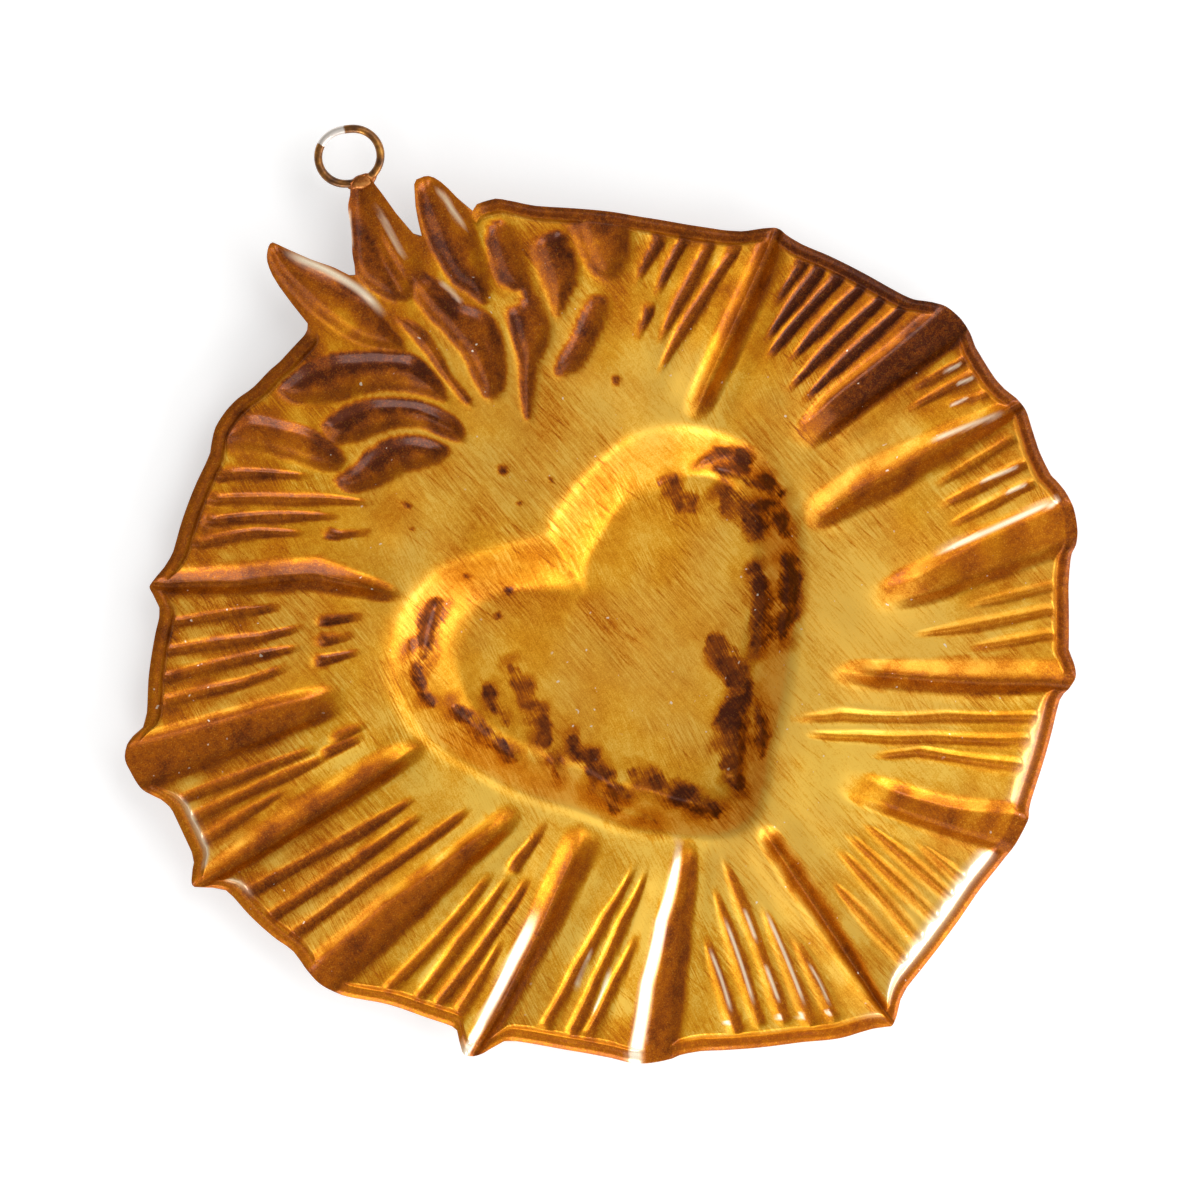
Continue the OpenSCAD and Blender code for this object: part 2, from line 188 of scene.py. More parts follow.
sheet = {
    "thickness": 0.35,      # of the tin, mm, as all lengths here
    "depth": 6.0,           # heart's floor below the ground
    "bandWidth": 1.5, "bandDrop": 1.3, "bandCurl": 0.2,     # the band round the rim
    "wallWidth": 0.7, "broadWall": 1.0, "broadBand": 0.2,   # its wall; wider at the lower right, band narrower
    "lineHalf": 1.22, "lineDepth": 0.68,
    "sway": 0.14,           # slow unevenness of the hand-worked ground
    "soften": 0.4,          # added to the width of a ray's walls
    "shoulder": 0.36, "shoulderWidth": 3.2,     # sag of the ground beside a ray
    "pocketBlur": 0.8, "pocketGrow": 0.6,       # soft edge of a flame's pocket, and how far it reaches out
    "pocketWall": 2.0, "pocketDepth": 0.82,     # times the table's wall and depth
    "bowlFloor": 5.86,      # deepest place of the heart before the dents
    "bowlLead": 2.4, "bowlWidth": 10.4,         # how far outside its outline the slope starts, and its width
    "steepLead": 1.2, "steepWidth": 3.2,        # less of both on its steep sides
    "lightTurn": -50,          # picture direction of the light: walls facing it are painted pale, walls facing away get painted shade
    "litSideTurn": 40,         # the sheet's lit side is at minus this picture direction; it is painted palest there and darker opposite, a painted light gradient
}
# Heart's slope: share of the way down it, and share of the depth there
bowlCurve = ([0, 0.12, 0.3, 0.5, 0.7, 0.86, 1], [0, 0.05, 0.27, 0.56, 0.8, 0.94, 1])

# Arcs of the sheet in picture directions: where each starts, is full, is full till and ends
arcs = {
    "flames": (106.5, 108.5, 133.8, 135.5), "broadRim": (305, 318, 345, 354),
    "glintRight": (302, 310, 347, 354), "glintLeft": (199, 203, 213, 217), "darkSide": (30, 42, 62, 76),
}

# Edge of the sheet: direction and distance in pixels
outline = [
    (-60, 465), (-57, 471.5), (-55, 478), (-54.3, 482), (-53, 476.5), (-52, 469), (-50, 461), (-48, 458),
    (-45, 454.6), (-40, 450.8), (-35, 448.8), (-30, 452.7), (-27, 456.5), (-24, 457.3), (-22, 452.7),
    (-18, 451.5), (-12, 452.3), (-8, 454.6), (-6.5, 463), (-5, 467.7), (-3.5, 465), (-2, 459), (0, 459),
    (5, 460.4), (8, 464), (10, 469), (11, 475), (13, 479.6), (15, 480.8), (17, 478.5), (19, 472.7), (20, 469),
    (23, 467), (26, 469.6), (28.5, 472.7), (30, 470.8), (32, 465), (34, 462.7), (38, 465), (40, 470),
    (42, 472.3), (44, 470.8), (46, 463), (48, 452.3), (50, 447.7), (55, 442), (60, 438), (64, 435.4),
    (66, 437), (67.5, 440), (69, 436), (70, 432), (72, 424.6), (75, 420), (80, 417.7), (85, 419), (90, 423.5),
    (95, 428.5), (100, 436), (103, 445.8), (105, 451.5), (107, 451.5), (108, 446), (109, 459), (110, 476.5),
    (111, 490), (112, 495), (113.2, 495), (113.9, 482), (114.6, 466), (115.4, 440), (116.2, 449), (117, 478),
    (117.6, 513), (118.2, 524), (119.6, 524), (120.3, 514), (121.5, 501.5), (122.5, 482), (124, 461),
    (125.4, 441), (127, 461), (128.5, 480), (130, 505), (130.8, 518.5), (132.2, 511), (133.3, 490),
    (133.8, 462), (134.2, 433), (136, 428), (140, 428.5), (142, 431), (145, 434), (148, 442), (150, 445),
    (152, 446), (154, 443), (156, 439), (160, 440.8), (165, 443), (169, 444.6), (171, 449.6), (173, 459),
    (174, 463), (175, 458.5), (177, 450.8), (180, 455), (185, 463), (190, 470.8), (191, 474.6), (192, 488),
    (193, 496.5), (194.5, 500.8), (196, 498.5), (198, 493.8), (199, 488), (200, 479), (202, 471.5),
    (205, 470.8), (208, 471.5), (209.5, 480), (211, 487), (212, 476.5), (213, 465), (214, 460), (218, 456.5),
    (222, 452), (225, 447.7), (228, 452), (230, 453.8), (233, 449.6), (236, 440), (238, 433.5), (240, 429),
    (244, 424.6), (248, 422), (249, 424.6), (250, 438), (251, 444.6), (252, 443), (253, 438), (254, 430),
    (256, 417.7), (260, 416), (265, 417.7), (270, 422.7), (273, 428.5), (275, 430), (278, 428.5),
    (280, 425.4), (282, 425.8), (285, 430), (290, 439), (295, 449.6),
]

# Outline of the heart: direction and distance in millimetres
heartEdge = [
    (-55, 29), (-33, 24), (-5, 22.5), (16, 24.5), (35, 27.5), (49, 29), (66, 27.5), (81, 24.5), (97, 19.5),
    (113, 15.5), (122, 14), (144, 17), (162, 22.5), (176, 25.5), (187, 26.5), (204, 26), (226, 23.5),
    (254, 22), (282, 25),
]

# Rays: distances in pixels, then the directions of the left side, of the floor's left and right sides and of
# the right side at these distances. Left is clockwise. Then depth in mm, where it ends and how far it runs out
# in pixels, how dark its lacquer is and, on two of them, where a painted highlight starts on the left wall
rayRows = [
    ((235, 280, 370, 440), (-11.6, -11.5, -9.5, -7.5), (-9.3, -8.3, -7.3, -6.5), (-9.3, -8.3, -7.3, -6.2),
     (-6, -5, -3, -2.8), 2.0, 225, 40, 0.55),
    ((280, 320, 385, 460), (4.5, 5.5, 8, 9.8), (7, 7.6, 9.6, 11.4), (10, 11.3, 14.3, 15.8),
     (12, 13.5, 16.2, 17.6), 1.8, 262, 60, 0.36),
    ((230, 300, 370, 450), (26.6, 25.7, 26.6, 28.0), (29.6, 29.6, 29.5, 29.2), (29.8, 29.8, 29.7, 29.4),
     (35.5, 35.5, 33, 30.8), 2.1, 222, 40, 0.5),
    ((280, 320, 400, 455), (42, 41.5, 40.2, 39.6), (43.6, 43, 41.6, 40.8), (47, 46.8, 45, 44.4),
     (48.6, 48.4, 46.5, 45.8), 1.8, 268, 50, 0.74),
    ((235, 300, 380, 435), (65.6, 65.2, 65.3, 66.0), (69, 68, 67.5, 67.4), (69.2, 68.2, 67.7, 67.6),
     (72.2, 71.2, 69.8, 69.2), 2.1, 226, 45, 0.45),
    ((165, 300, 375, 445), (169, 164.5, 168.6, 171.3), (169.2, 168.5, 172.2, 173.6),
     (169.4, 168.8, 172.4, 173.8), (171, 172, 174, 174.9), 1.9, 206, 50, 0.6),
    ((285, 350, 420, 485), (189.8, 190.5, 191.3, 191.8), (191.6, 192, 192.8, 193),
     (195.2, 196.4, 197, 197.6), (196.8, 197.8, 198.6, 199), 1.7, 272, 45, 0.6),
    ((215, 300, 400, 470), (206.5, 206.5, 208, 209.9), (210.3, 211.3, 211.5, 211.3),
     (210.5, 211.5, 211.7, 211.5), (213.4, 213.2, 212.8, 212.4), 1.9, 208, 55, 0.55),
    ((210, 270, 350, 430), (237, 232.8, 228.5, 227), (239, 234.8, 230.3, 228.6),
     (242.4, 237.4, 234, 231.8), (244.2, 239.4, 236, 233.6), 1.7, 193, 45, 0.6),
    ((200, 260, 340, 440), (256.8, 254.4, 252.2, 250.4), (262, 258.6, 255.4, 252),
     (262.2, 258.8, 255.6, 252.2), (268.8, 263, 257.6, 253.4), 2.0, 188, 40, 0.6, 300),
    ((220, 290, 350, 420), (287.2, 278.6, 274.6, 272.2), (290, 282.2, 277.8, 275),
     (291.4, 284.6, 281, 278), (293, 286.8, 282.6, 279.6), 1.5, 214, 45, 0.6, 225),
    ((250, 300, 370, 450), (306, 305.4, 305.4, 305.6), (308, 307.2, 306.6, 306),
     (308.6, 308, 307.2, 306.2), (310.6, 310.3, 308.6, 307), 1.9, 243, 22, 0.55),
    ((290, 330, 380, 440), (325.2, 327, 328.6, 330.4), (326.6, 328.4, 330, 331.8),
     (330.4, 331.4, 333, 336), (332.2, 333, 334.8, 337.8), 1.7, 268, 75, 0.4),
]
rayKeys = ("r", "a", "b", "c", "d", "depth", "end", "run", "dark", "bright")
rays = [dict(zip(rayKeys, row)) for row in rayRows]

# Lines: two or more points of direction and distance from the rim inwards, and how dark
lines = [
    ((0, 437), (-2.3, 350), 0.5), ((3.2, 437), (0, 300), 0.5), ((6.3, 440), (4.6, 350), 0.4),
    ((19.7, 440), (17.8, 350), 0.6), ((22.4, 440), (21.3, 350), 0.6), ((26, 440), (24.7, 350), 0.5),
    ((32.7, 440), (34.9, 400), 0.6), ((35.6, 445), (37.2, 370), 0.6), ((37.9, 443), (39.3, 380), 0.6),
    ((48.3, 430), (50.5, 300), 0.9), ((51.2, 425), (54, 300), 0.9), ((54.3, 425), (56.8, 325), 0.9),
    ((57.6, 418), (60.5, 315), 0.9), ((60.3, 415), (62.2, 330), 0.9), ((62.7, 412), (63.6, 365), 0.8),
    ((72.2, 400), (74.8, 345), (79.5, 265), 0.7), ((75.8, 400), (77.2, 360), (80.5, 295), 0.7),
    ((79.5, 400), (81.5, 360), (82.4, 340), 0.8), ((83.2, 322), (85, 295), 0.8), ((83, 395), (86, 350), 0.8),
    ((157.6, 420), (152, 335), 0.6), ((161, 415), (157, 345), (151, 270), 0.5),
    ((164, 412), (160, 345), (156.5, 295), 0.6), ((167.5, 420), (164, 370), (161.5, 318), 0.6),
    ((160, 290), (156.5, 258), 0.6), ((178.3, 430), (175, 325), 0.6),
    ((182, 435), (180.5, 350), (178.5, 305), 0.6), ((185.5, 440), (182.2, 305), 0.6),
    ((188.5, 443), (187.5, 370), (185.7, 322), 0.6), ((177, 280), (175.5, 245), 0.7),
    ((181, 280), (180, 255), 0.6), ((185, 285), (183.8, 247), 0.7), ((200.9, 450), (201, 310), 0.6),
    ((203.7, 450), (203.2, 302), 0.6), ((206.8, 448), (205.5, 353), 0.6), ((202.5, 300), (202.3, 262), 0.7),
    ((200.5, 285), (200, 255), 0.6), ((215.4, 440), (216.8, 370), (219.8, 253), 0.7),
    ((219.8, 435), (221, 370), (223.5, 257), 0.7), ((223.5, 432), (225.5, 340), (228, 280), (231, 220), 0.7),
    ((238, 415), (240, 360), (243.5, 262), 0.6), ((242.3, 407), (244, 340), (247.3, 258), 0.6),
    ((245.2, 403), (248, 330), (251.7, 250), 0.7), ((248.4, 400), (250.7, 317), 0.6),
    ((247.5, 245), (251.5, 195), 0.7), ((260.8, 391), (264.4, 333), (269.3, 280), (276.5, 228), 0.6),
    ((264.7, 396), (268, 340), (272.5, 287), (279, 236), 0.65),
    ((266.9, 400), (270.6, 348), (275.5, 297), 0.65), ((287.8, 408), (287.5, 310), 0.66),
    ((291.2, 408), (292.4, 270), 0.62), ((294.5, 415), (297, 248), 0.62), ((297.5, 430), (299.5, 310), 0.55),
    ((300.5, 435), (301.5, 350), 0.55), ((312.2, 435), (312, 325), 0.5), ((315.5, 435), (317, 310), 0.5),
    ((319, 430), (320.2, 305), 0.5), ((322.5, 430), (323.7, 312), 0.5), ((325.3, 428), (326.2, 365), 0.4),
    ((342.3, 428), (339.5, 330), (335, 285), 0.5), ((345.8, 428), (342.5, 340), (338, 270), (333, 215), 0.5),
    ((349, 428), (346.5, 345), (341, 245), (335, 195), 0.5),
]

# Pockets of the flames and of the two square rays beside them: outline in pixels, depth and width of the wall
# in mm, darkness and the direction of the side that is darkest
pockets = [
    ([(272, 246), (290, 252), (311, 262), (353, 281), (372, 299), (386, 320), (404, 344), (398, 350),
      (374, 347), (349, 336), (317, 314), (299, 296), (283, 280), (272, 260)], 1.5, 1.0, 0.62, 45),
    ([(353, 180), (369, 178), (379, 199), (390, 217), (414, 244), (421, 262), (419, 280), (411, 297),
      (400, 301), (388, 299), (372, 290), (357, 276), (352, 257), (349.5, 224),
      (349, 203)], 1.3, 1.0, 0.62, 200),
    ([(423, 180), (431, 179), (441, 185), (455, 198), (466, 211), (474, 222), (482, 252), (488, 277),
      (489, 293), (483, 304), (469, 293), (454, 284), (438, 259), (427, 233), (419, 208),
      (417, 190)], 1.6, 1.1, 0.7, 200),
    ([(415, 272), (431, 276), (446, 289), (461, 302), (486, 312), (498, 328), (505, 354), (505, 384),
      (498, 396), (486, 398), (476, 384), (464, 358), (446, 335), (428, 317), (414, 298),
      (410, 284)], 1.6, 1.2, 0.75, 100),
    ([(487, 240), (492, 223), (503, 219), (512, 233), (522, 256), (530, 282), (545, 312), (551, 326),
      (548, 343), (541, 356), (536, 375), (534, 395), (530, 416), (525, 416), (521, 388), (519, 361),
      (513, 338), (508, 314), (513, 306), (522, 302), (522, 291), (510, 289), (499, 280),
      (491, 262)], 1.5, 1.0, 0.72, 190),
    ([(548, 233), (561, 231), (568, 243), (577, 265), (577, 280), (571, 292), (565, 305), (559, 318),
      (555, 316), (550, 300), (542, 277), (535, 254), (537, 240)], 1.3, 1.0, 0.72, 60),
    ([(584, 307), (596, 295), (607, 300), (606, 315), (596, 341), (581, 367), (564, 376), (555, 374),
      (558, 361), (566, 346), (575, 328)], 1.2, 1.0, 0.7, 90),
    ([(578, 243), (573, 222), (584, 212), (629, 216), (630, 243), (625, 264), (612, 279), (597, 276),
      (586, 263)], 1.6, 1.1, 0.66, 90),
    ([(278, 389), (292, 374), (309, 362), (333, 354), (358, 352), (380, 351), (408, 353), (422, 361),
      (436, 376), (445, 389), (446, 401), (428, 397), (405, 391), (382, 391), (358, 396), (336, 402),
      (313, 405), (290, 402)], 1.7, 1.3, 0.8, 95),
    ([(323, 424), (334, 414), (352, 404), (373, 399), (398, 399), (422, 402), (443, 410), (458, 420),
      (465, 432), (461, 441), (444, 437), (425, 429), (410, 427), (392, 429), (376, 434), (361, 441),
      (346, 444), (330, 443)], 1.6, 1.2, 0.82, 95),
    ([(337, 479), (352, 467), (367, 452), (382, 442), (398, 437), (416, 436), (433, 440), (449, 449),
      (444, 458), (431, 466), (407, 472), (392, 480), (373, 489), (355, 493), (343, 490)], 1.5, 1.2, 0.8, 95),
    ([(398, 320), (408, 320), (420, 326), (436, 345), (451, 374), (464, 390), (472, 402), (464, 402),
      (444, 378), (428, 356), (408, 332)], 0.9, 0.8, 0.66, 110),
    ([(226, 428), (250, 415), (285, 421), (310, 428), (330, 442), (345, 456), (340, 470), (324, 471),
      (306, 466), (283, 458), (258, 452), (222, 447)], 1.5, 1.1, 0.6, 90),
]

# Creases raised or sunk along the free flames: points in pixels, half width in mm, height
creases = [
    ([(276, 249), (293, 260), (311, 269), (337, 281), (376, 304)], 0.9, 0.6),
    ([(362, 180), (374, 206), (394, 234), (410, 252), (415, 266)], 0.7, 0.55),
    ([(366, 199), (382, 241), (399, 272), (408, 288)], 0.45, 0.3),
    ([(372, 235), (384, 267), (403, 297)], 0.4, 0.22),
    ([(430, 180), (443, 198), (455, 214), (469, 232)], 0.8, 0.5),
    ([(421, 207), (429, 236), (440, 258)], 0.4, -0.25),
    ([(285, 285), (298, 296), (317, 315), (349, 337), (373, 347)], 0.4, -0.3),
    ([(346, 384), (373, 379), (410, 380), (436, 388)], 0.5, 0.25),
    ([(345, 428), (373, 418), (398, 414), (430, 419)], 0.5, 0.25),
    ([(491, 398), (494, 370), (480, 335)], 0.6, 0.2),
]

# Painted highlights along edges of flames, rays and lines, and one chip of bare tin on a flame's edge, in
# pixels:
# points, half width in mm, share
glints = [
    ([(281, 250), (300, 259), (330, 272), (362, 292), (386, 318)], 0.75, 0.9),
    ([(378, 208), (391, 234), (404, 258)], 0.4, 0.7), ([(437, 186), (450, 206), (464, 228)], 0.5, 0.75),
    ([(349, 208), (350, 226), (352, 250)], 0.35, 0.6), ([(438, 280), (452, 292), (462, 304)], 0.45, 0.5),
    ([(930, 556), (995, 528), (1060, 498)], 0.5, 0.95), ([(928, 442), (968, 426), (1006, 411)], 0.45, 0.85),
    ([(709, 947), (721, 978), (732, 1014)], 0.3, 0.95), ([(724, 916), (740, 960), (755, 1007)], 0.3, 0.95),
    ([(744, 908), (751, 926), (757, 942)], 0.3, 0.9), ([(765, 963), (773, 985), (780, 1004)], 0.3, 0.95),
    ([(765, 909), (786, 957), (806, 1008)], 0.3, 0.95), ([(808, 962), (820, 983), (830, 1006)], 0.24, 0.8),
    ([(727, 1020), (729, 1026)], 0.4, 1.6), ([(779, 1015), (780, 1020)], 0.4, 1.6),
    ([(801, 1013), (802, 1019)], 0.4, 1.6), ([(827, 1010), (829, 1015)], 0.4, 1.6),
    ([(592, 948), (584, 968), (575, 990)], 0.24, 0.9), ([(612, 968), (602, 992), (592, 1015)], 0.24, 0.9),
    ([(944, 372), (963, 363)], 0.3, 0.9), ([(955, 385), (975, 377)], 0.3, 0.95),
    ([(950, 406), (969, 397)], 0.25, 0.7), ([(978, 483), (1020, 466)], 0.3, 0.9),
    ([(1004, 494), (1028, 484)], 0.28, 0.8), ([(1046, 510), (1060, 498)], 0.45, 0.9),
]

# Wide paler and browner patches on the gold, the paler ones painted sheen and the browner ones lacquer:
# middle and radius in pixels, change of the lacquer share
sheenAndWashes = [
    (880, 640, 60, -0.14), (838, 778, 62, -0.14), (905, 780, 45, 0.12), (692, 368, 38, -0.12),
    (905, 545, 36, 0.1), (650, 445, 50, -0.06), (800, 420, 60, 0.1), (560, 880, 45, -0.07),
    (330, 600, 60, 0.07), (470, 560, 50, 0.05), (610, 700, 90, 0.05), (930, 930, 60, -0.08),
    (250, 730, 50, 0.06), (780, 870, 45, -0.08), (560, 430, 55, 0.04),
]

# Dents of the chasing punch in the heart: points in pixels, half width and depth in mm, darkness
dents = [
    ([(664, 484), (677, 492), (690, 508)], 1.9, 0.35, 0.95),
    ([(700, 462), (722, 453), (753, 460)], 0.9, 0.4, 0.9),
    ([(717, 468), (748, 476), (781, 492)], 1.2, 0.5, 0.9),
    ([(722, 495), (745, 512), (765, 530)], 2.4, 0.4, 0.8),
    ([(755, 505), (775, 515), (787, 532)], 1.4, 0.4, 0.8),
    ([(753, 569), (762, 610), (759, 650)], 1.5, 0.5, 0.95),
    ([(787, 555), (791, 590), (784, 634)], 1.4, 0.5, 0.95),
    ([(712, 641), (728, 662), (744, 684)], 1.9, 0.5, 1.0),
    ([(740, 690), (733, 725), (735, 775)], 1.7, 0.5, 1.0),
    ([(725, 712), (724, 750), (740, 785)], 1.3, 0.4, 0.95),
    ([(759, 708), (764, 730), (759, 756)], 1.0, 0.4, 0.85),
    ([(436, 602), (428, 628), (424, 652)], 1.5, 0.5, 0.95),
    ([(412, 640), (418, 680), (432, 706)], 0.9, 0.4, 0.8),
    ([(482, 680), (495, 704), (506, 724)], 0.9, 0.5, 0.85),
    ([(512, 668), (530, 700), (546, 745)], 1.5, 0.55, 0.95),
    ([(453, 708), (485, 735), (515, 760)], 1.2, 0.5, 0.9),
    ([(536, 728), (548, 752), (556, 772)], 1.3, 0.4, 0.75),
    ([(574, 742), (596, 768), (625, 800)], 1.6, 0.5, 0.9),
    ([(634, 775), (672, 792), (714, 812)], 1.9, 0.5, 0.85),
    ([(590, 790), (620, 812), (655, 822)], 1.0, 0.3, 0.6),
]

# Specks of lacquer on the gold: place in pixels and radius in mm
specks = [
    (503, 470, 1.1), (551, 480, 0.5), (520, 504, 0.5), (467, 577, 0.6), (509, 591, 0.9), (498, 616, 0.8),
    (571, 574, 0.4), (407, 505, 0.7), (616, 380, 0.9), (414, 530, 0.4),
]


def rimSizes(theta):
    # width of the rim's wall and of its band: the wall is broader at the lower right
    broad = arc(theta, "broadRim")
    return sheet["wallWidth"] + sheet["broadWall"] * broad, sheet["bandWidth"] - sheet["broadBand"] * broad


def rayDepth(theta, r, ray):
    # depth below the ground: eased from the left side to the floor and up to the right side, times a run-out
    # at the inner end. Then the share of the wall, of lacquer with painted shade, and of painted highlight
    rr = np.clip(r, ray["r"][0] * 0.9, None)
    a, b, c, d = (np.interp(rr, ray["r"], ray[k]) for k in "abcd")
    middle = (b + c) / 2
    t = turned(theta - middle)
    a, b, c, d = a - middle, b - middle, c - middle, d - middle
    out = math.degrees(sheet["soften"] * pxPerMm) / np.maximum(r, 150)
    a, b, c, d = a - out, b + np.minimum(out, (c - b) * 0.3), c - np.minimum(out, (c - b) * 0.3), d + out
    left = np.clip((t - a) / np.maximum(b - a, 0.1), 0, 1)
    right = np.clip((d - t) / np.maximum(d - c, 0.1), 0, 1)
    side = np.minimum(left, right)
    flat = c - b > 0.6
    shape = np.where(flat, ramp(side, 0.28), np.where(side < 0.3, side * side / 0.6, side - 0.15) / 0.85)
    beside = np.maximum(np.maximum(a - t, t - d), 0) * math.pi / 180 * r / pxPerMm
    shoulder = sheet["shoulder"] * (1 - smooth(beside / sheet["shoulderWidth"]))
    run = between(r, ray["end"] - 6, ray["end"] + ray["run"])
    # lacquer at the groove's bottom, and painted shade on the wall facing away from the light
    lacquerAndShade = lacquerAndShadeOn(left, right, middle, 0.55)
    polish = np.zeros_like(r)
    # a painted highlight along the left wall, on two rays
    if "bright" in ray:
        polish = between(left, 0.12, 0.35) * (1 - between(left, 0.5, 0.8))
        polish = polish * between(r, ray["bright"] - 20, ray["bright"] + 30)
    return ((ray["depth"] - sheet["shoulder"]) * shape + shoulder) * run, side * run, lacquerAndShade * run, polish


def lacquerAndShadeOn(left, right, middle, most):
    # share of dark lacquer and painted shade on the two walls of a groove: lacquer all at its bottom, painted
    # shade over much of the wall that faces away from the light and only the lowest part of the wall that
    # faces it, least on the lit side
    most = most * (0.58 + 0.42 * np.cos(np.radians(middle + sheet["litSideTurn"])))
    first = 0.5 + 0.5 * np.cos(np.radians(middle + 90 - sheet["lightTurn"]))
    first, second = between(first, 0.25, 0.75), 1 - between(first, 0.25, 0.75)
    low = np.where(left < right, 0.02 + most * first, 0.02 + most * second)
    side = np.minimum(left, right)
    return smooth((side - low) / 0.42)


def lineDepth(theta, r, line):
    # depth of a chased line: a rounded V across, eased at both ends
    ts, rs = np.array(line[-2::-1], float).T
    centre = np.interp(r, rs, ts)
    across = np.abs(turned(theta - centre)) * math.pi / 180 * r / pxPerMm
    taper = 0.6 + 0.4 * between(r, rs[0], rs[0] + 60)
    half = sheet["lineHalf"] * taper * (1 + 0.12 * np.sin(r / 17 + rs[0]))
    t = np.clip(1 - across / half, 0, 1)
    ends = between(r, rs[0] - 4, rs[0] + 22) * (1 - between(r, rs[-1] + 6, rs[-1] + 16))
    first = turned(theta - centre) < 0
    # lacquer at the line's bottom, and painted shade on the wall facing away from the light
    lacquerAndShade = lacquerAndShadeOn(np.where(first, t, 2), np.where(first, 2, t), centre, 0.5)
    depth = sheet["lineDepth"] * taper * smooth(t * 1.15)
    return depth * ends, np.clip(t * 1.6, 0, 1) * ends, lacquerAndShade * ends


def pocketDistance(x, y, path):
    # distance to the pocket's edge, positive inside
    away, _ = lineDistance(x, y, path, closed=True)
    return np.where(insideOf(x, y, path), away, -away)


def sheetForm(x, y):
    # depth of the upper face below the ground and four shares (dark lacquer with painted shade and sheen,
    # brushing, punched dents, painted highlight with one chip of bare tin), at points in millimetres from the
    # sheet's middle in the picture's directions. Depth is the ground's sway, the grooves and the rim on it,
    # then the heart's bowl and the dents of the punch
    theta = np.degrees(np.arctan2(y, x)) % 360.0
    rMm = np.hypot(x, y)
    r = rMm * pxPerMm
    edge = roundCurve(outline, theta) / pxPerMm
    inFlames = arc(theta, "flames")

    depth = np.maximum(sheet["sway"] * (0.7 + wander(x, y, 26, 3)) + 0.04 * wander(x, y, 9, 4), 0)
    # side: 0 on the sheet's lit side, 1 opposite; the ground's tone darkens with it, a painted shade gradient
    side = 0.5 - 0.5 * np.cos(np.radians(theta + sheet["litSideTurn"]))
    outer = between(r, 290, 420) * (1 + 0.9 * wander(x, y, 8, 6))
    dark = 0.05 + 0.11 * side + 0.07 * wander(x, y, 12, 5) + (0.10 + 0.14 * side) * outer
    brushed = np.ones_like(x)

    # rays and lines
    polish, punched, grooves, stain, inRay = (np.zeros_like(x) for _ in range(5))
    for ray in rays:
        d, s, lacquerAndShade, bare = rayDepth(theta, r, ray)
        inRay = np.maximum(inRay, smooth(s * 3))
        grooves = np.maximum(grooves, d)
        polish = np.maximum(polish, bare)
        fade = 0.7 + 0.3 * between(r, ray["end"], ray["end"] + 120)
        dark = np.maximum(dark, ray["dark"] * fade * lacquerAndShade)
        stain = np.maximum(stain, smooth(s * 6))
        brushed = np.minimum(brushed, 1 - 0.75 * smooth(s * 2))
    for line in lines:
        d, s, lacquerAndShade = lineDepth(theta, r, line)
        grooves = np.maximum(grooves, d)
        # lines and their stains are painted darker on the side of the sheet away from the light
        dark = np.maximum(dark, line[-1] * lacquerAndShade * (0.8 + 0.25 * side))
        stain = np.maximum(stain, smooth(s * 4) * (0.3 + 0.7 * side))
        brushed = np.minimum(brushed, 1 - 0.6 * smooth(s))
    for path, deep, wall, tone, turn in pockets:
        path = rounded(toSheet(path))
        (lowX, lowY), (highX, highY) = path.min(axis=0) - 1.5, path.max(axis=0) + 1.5
        near = (x > lowX) & (x < highX) & (y > lowY) & (y < highY)
        px, py = x[near], y[near]
        away = pocketDistance(px, py, path)
        blur = sheet["pocketBlur"]
        sx, sy = blur * math.cos(math.radians(turn)), blur * math.sin(math.radians(turn))
        lean = pocketDistance(px - sx, py - sy, path) - pocketDistance(px + sx, py + sy, path)
        lean = np.clip(lean / (2 * blur), -1, 1)
        away = away + sheet["pocketGrow"]
        t = np.clip(away / (wall * sheet["pocketWall"]), 0, None)
        hollow = deep * sheet["pocketDepth"] * (0.92 * ramp(t, 0.4) + 0.08 * np.clip(t / 2, 0, 1))
        grooves[near] = np.maximum(grooves[near], hollow)
        shade = tone * (0.96 + 0.26 * lean + 0.16 * wander(px, py, 4.5, 12))
        dark[near] = np.maximum(dark[near], shade * smooth((away - 0.05) / blur))
        stain[near] = np.maximum(stain[near], smooth((away - 0.1) / 0.7))
        brushed[near] = np.minimum(brushed[near], 1 - 0.8 * smooth((away + 0.1) / 0.5))
    for path, half, high in creases:
        away, along = alongPath(x, y, path)
        ends = smooth(along * 6) * smooth((1 - along) * 5)
        grooves = grooves - high * np.exp(-((away / half) ** 2)) * ends * smooth(grooves / 0.5)

    free = inFlames * between(r, 405 + 1.2 * np.abs(theta - 122), 440)
    dark = np.maximum(dark, 0.56 * free)
    brushed = np.minimum(brushed, 1 - free)

    dark = np.maximum(dark, dark * 0.6 + 0.26 * stain * (0.8 + 0.5 * wander(x, y, 6, 13)))

    # the rim: a wall down to a band along the edge, except at the free flames
    inside = edge - rMm
    wide, foot = rimSizes(theta)
    wallT = smooth((foot + wide - inside) / wide)
    band = sheet["bandDrop"] * wallT - 0.16 * np.exp(-(((inside - foot * 0.5) / (foot * 0.32)) ** 2))
    band = band + sheet["bandCurl"] * smooth(1 - inside / 0.5)
    band = band * (1 - inFlames)
    grooves = softMax(grooves, np.maximum(band, 0), 0.12)
    rimTone = 0.60 + 0.14 * np.cos(np.radians(theta - 55))
    dark = np.maximum(dark, rimTone * smooth((foot + wide * 0.6 - inside) / 0.6) * (1 - inFlames))
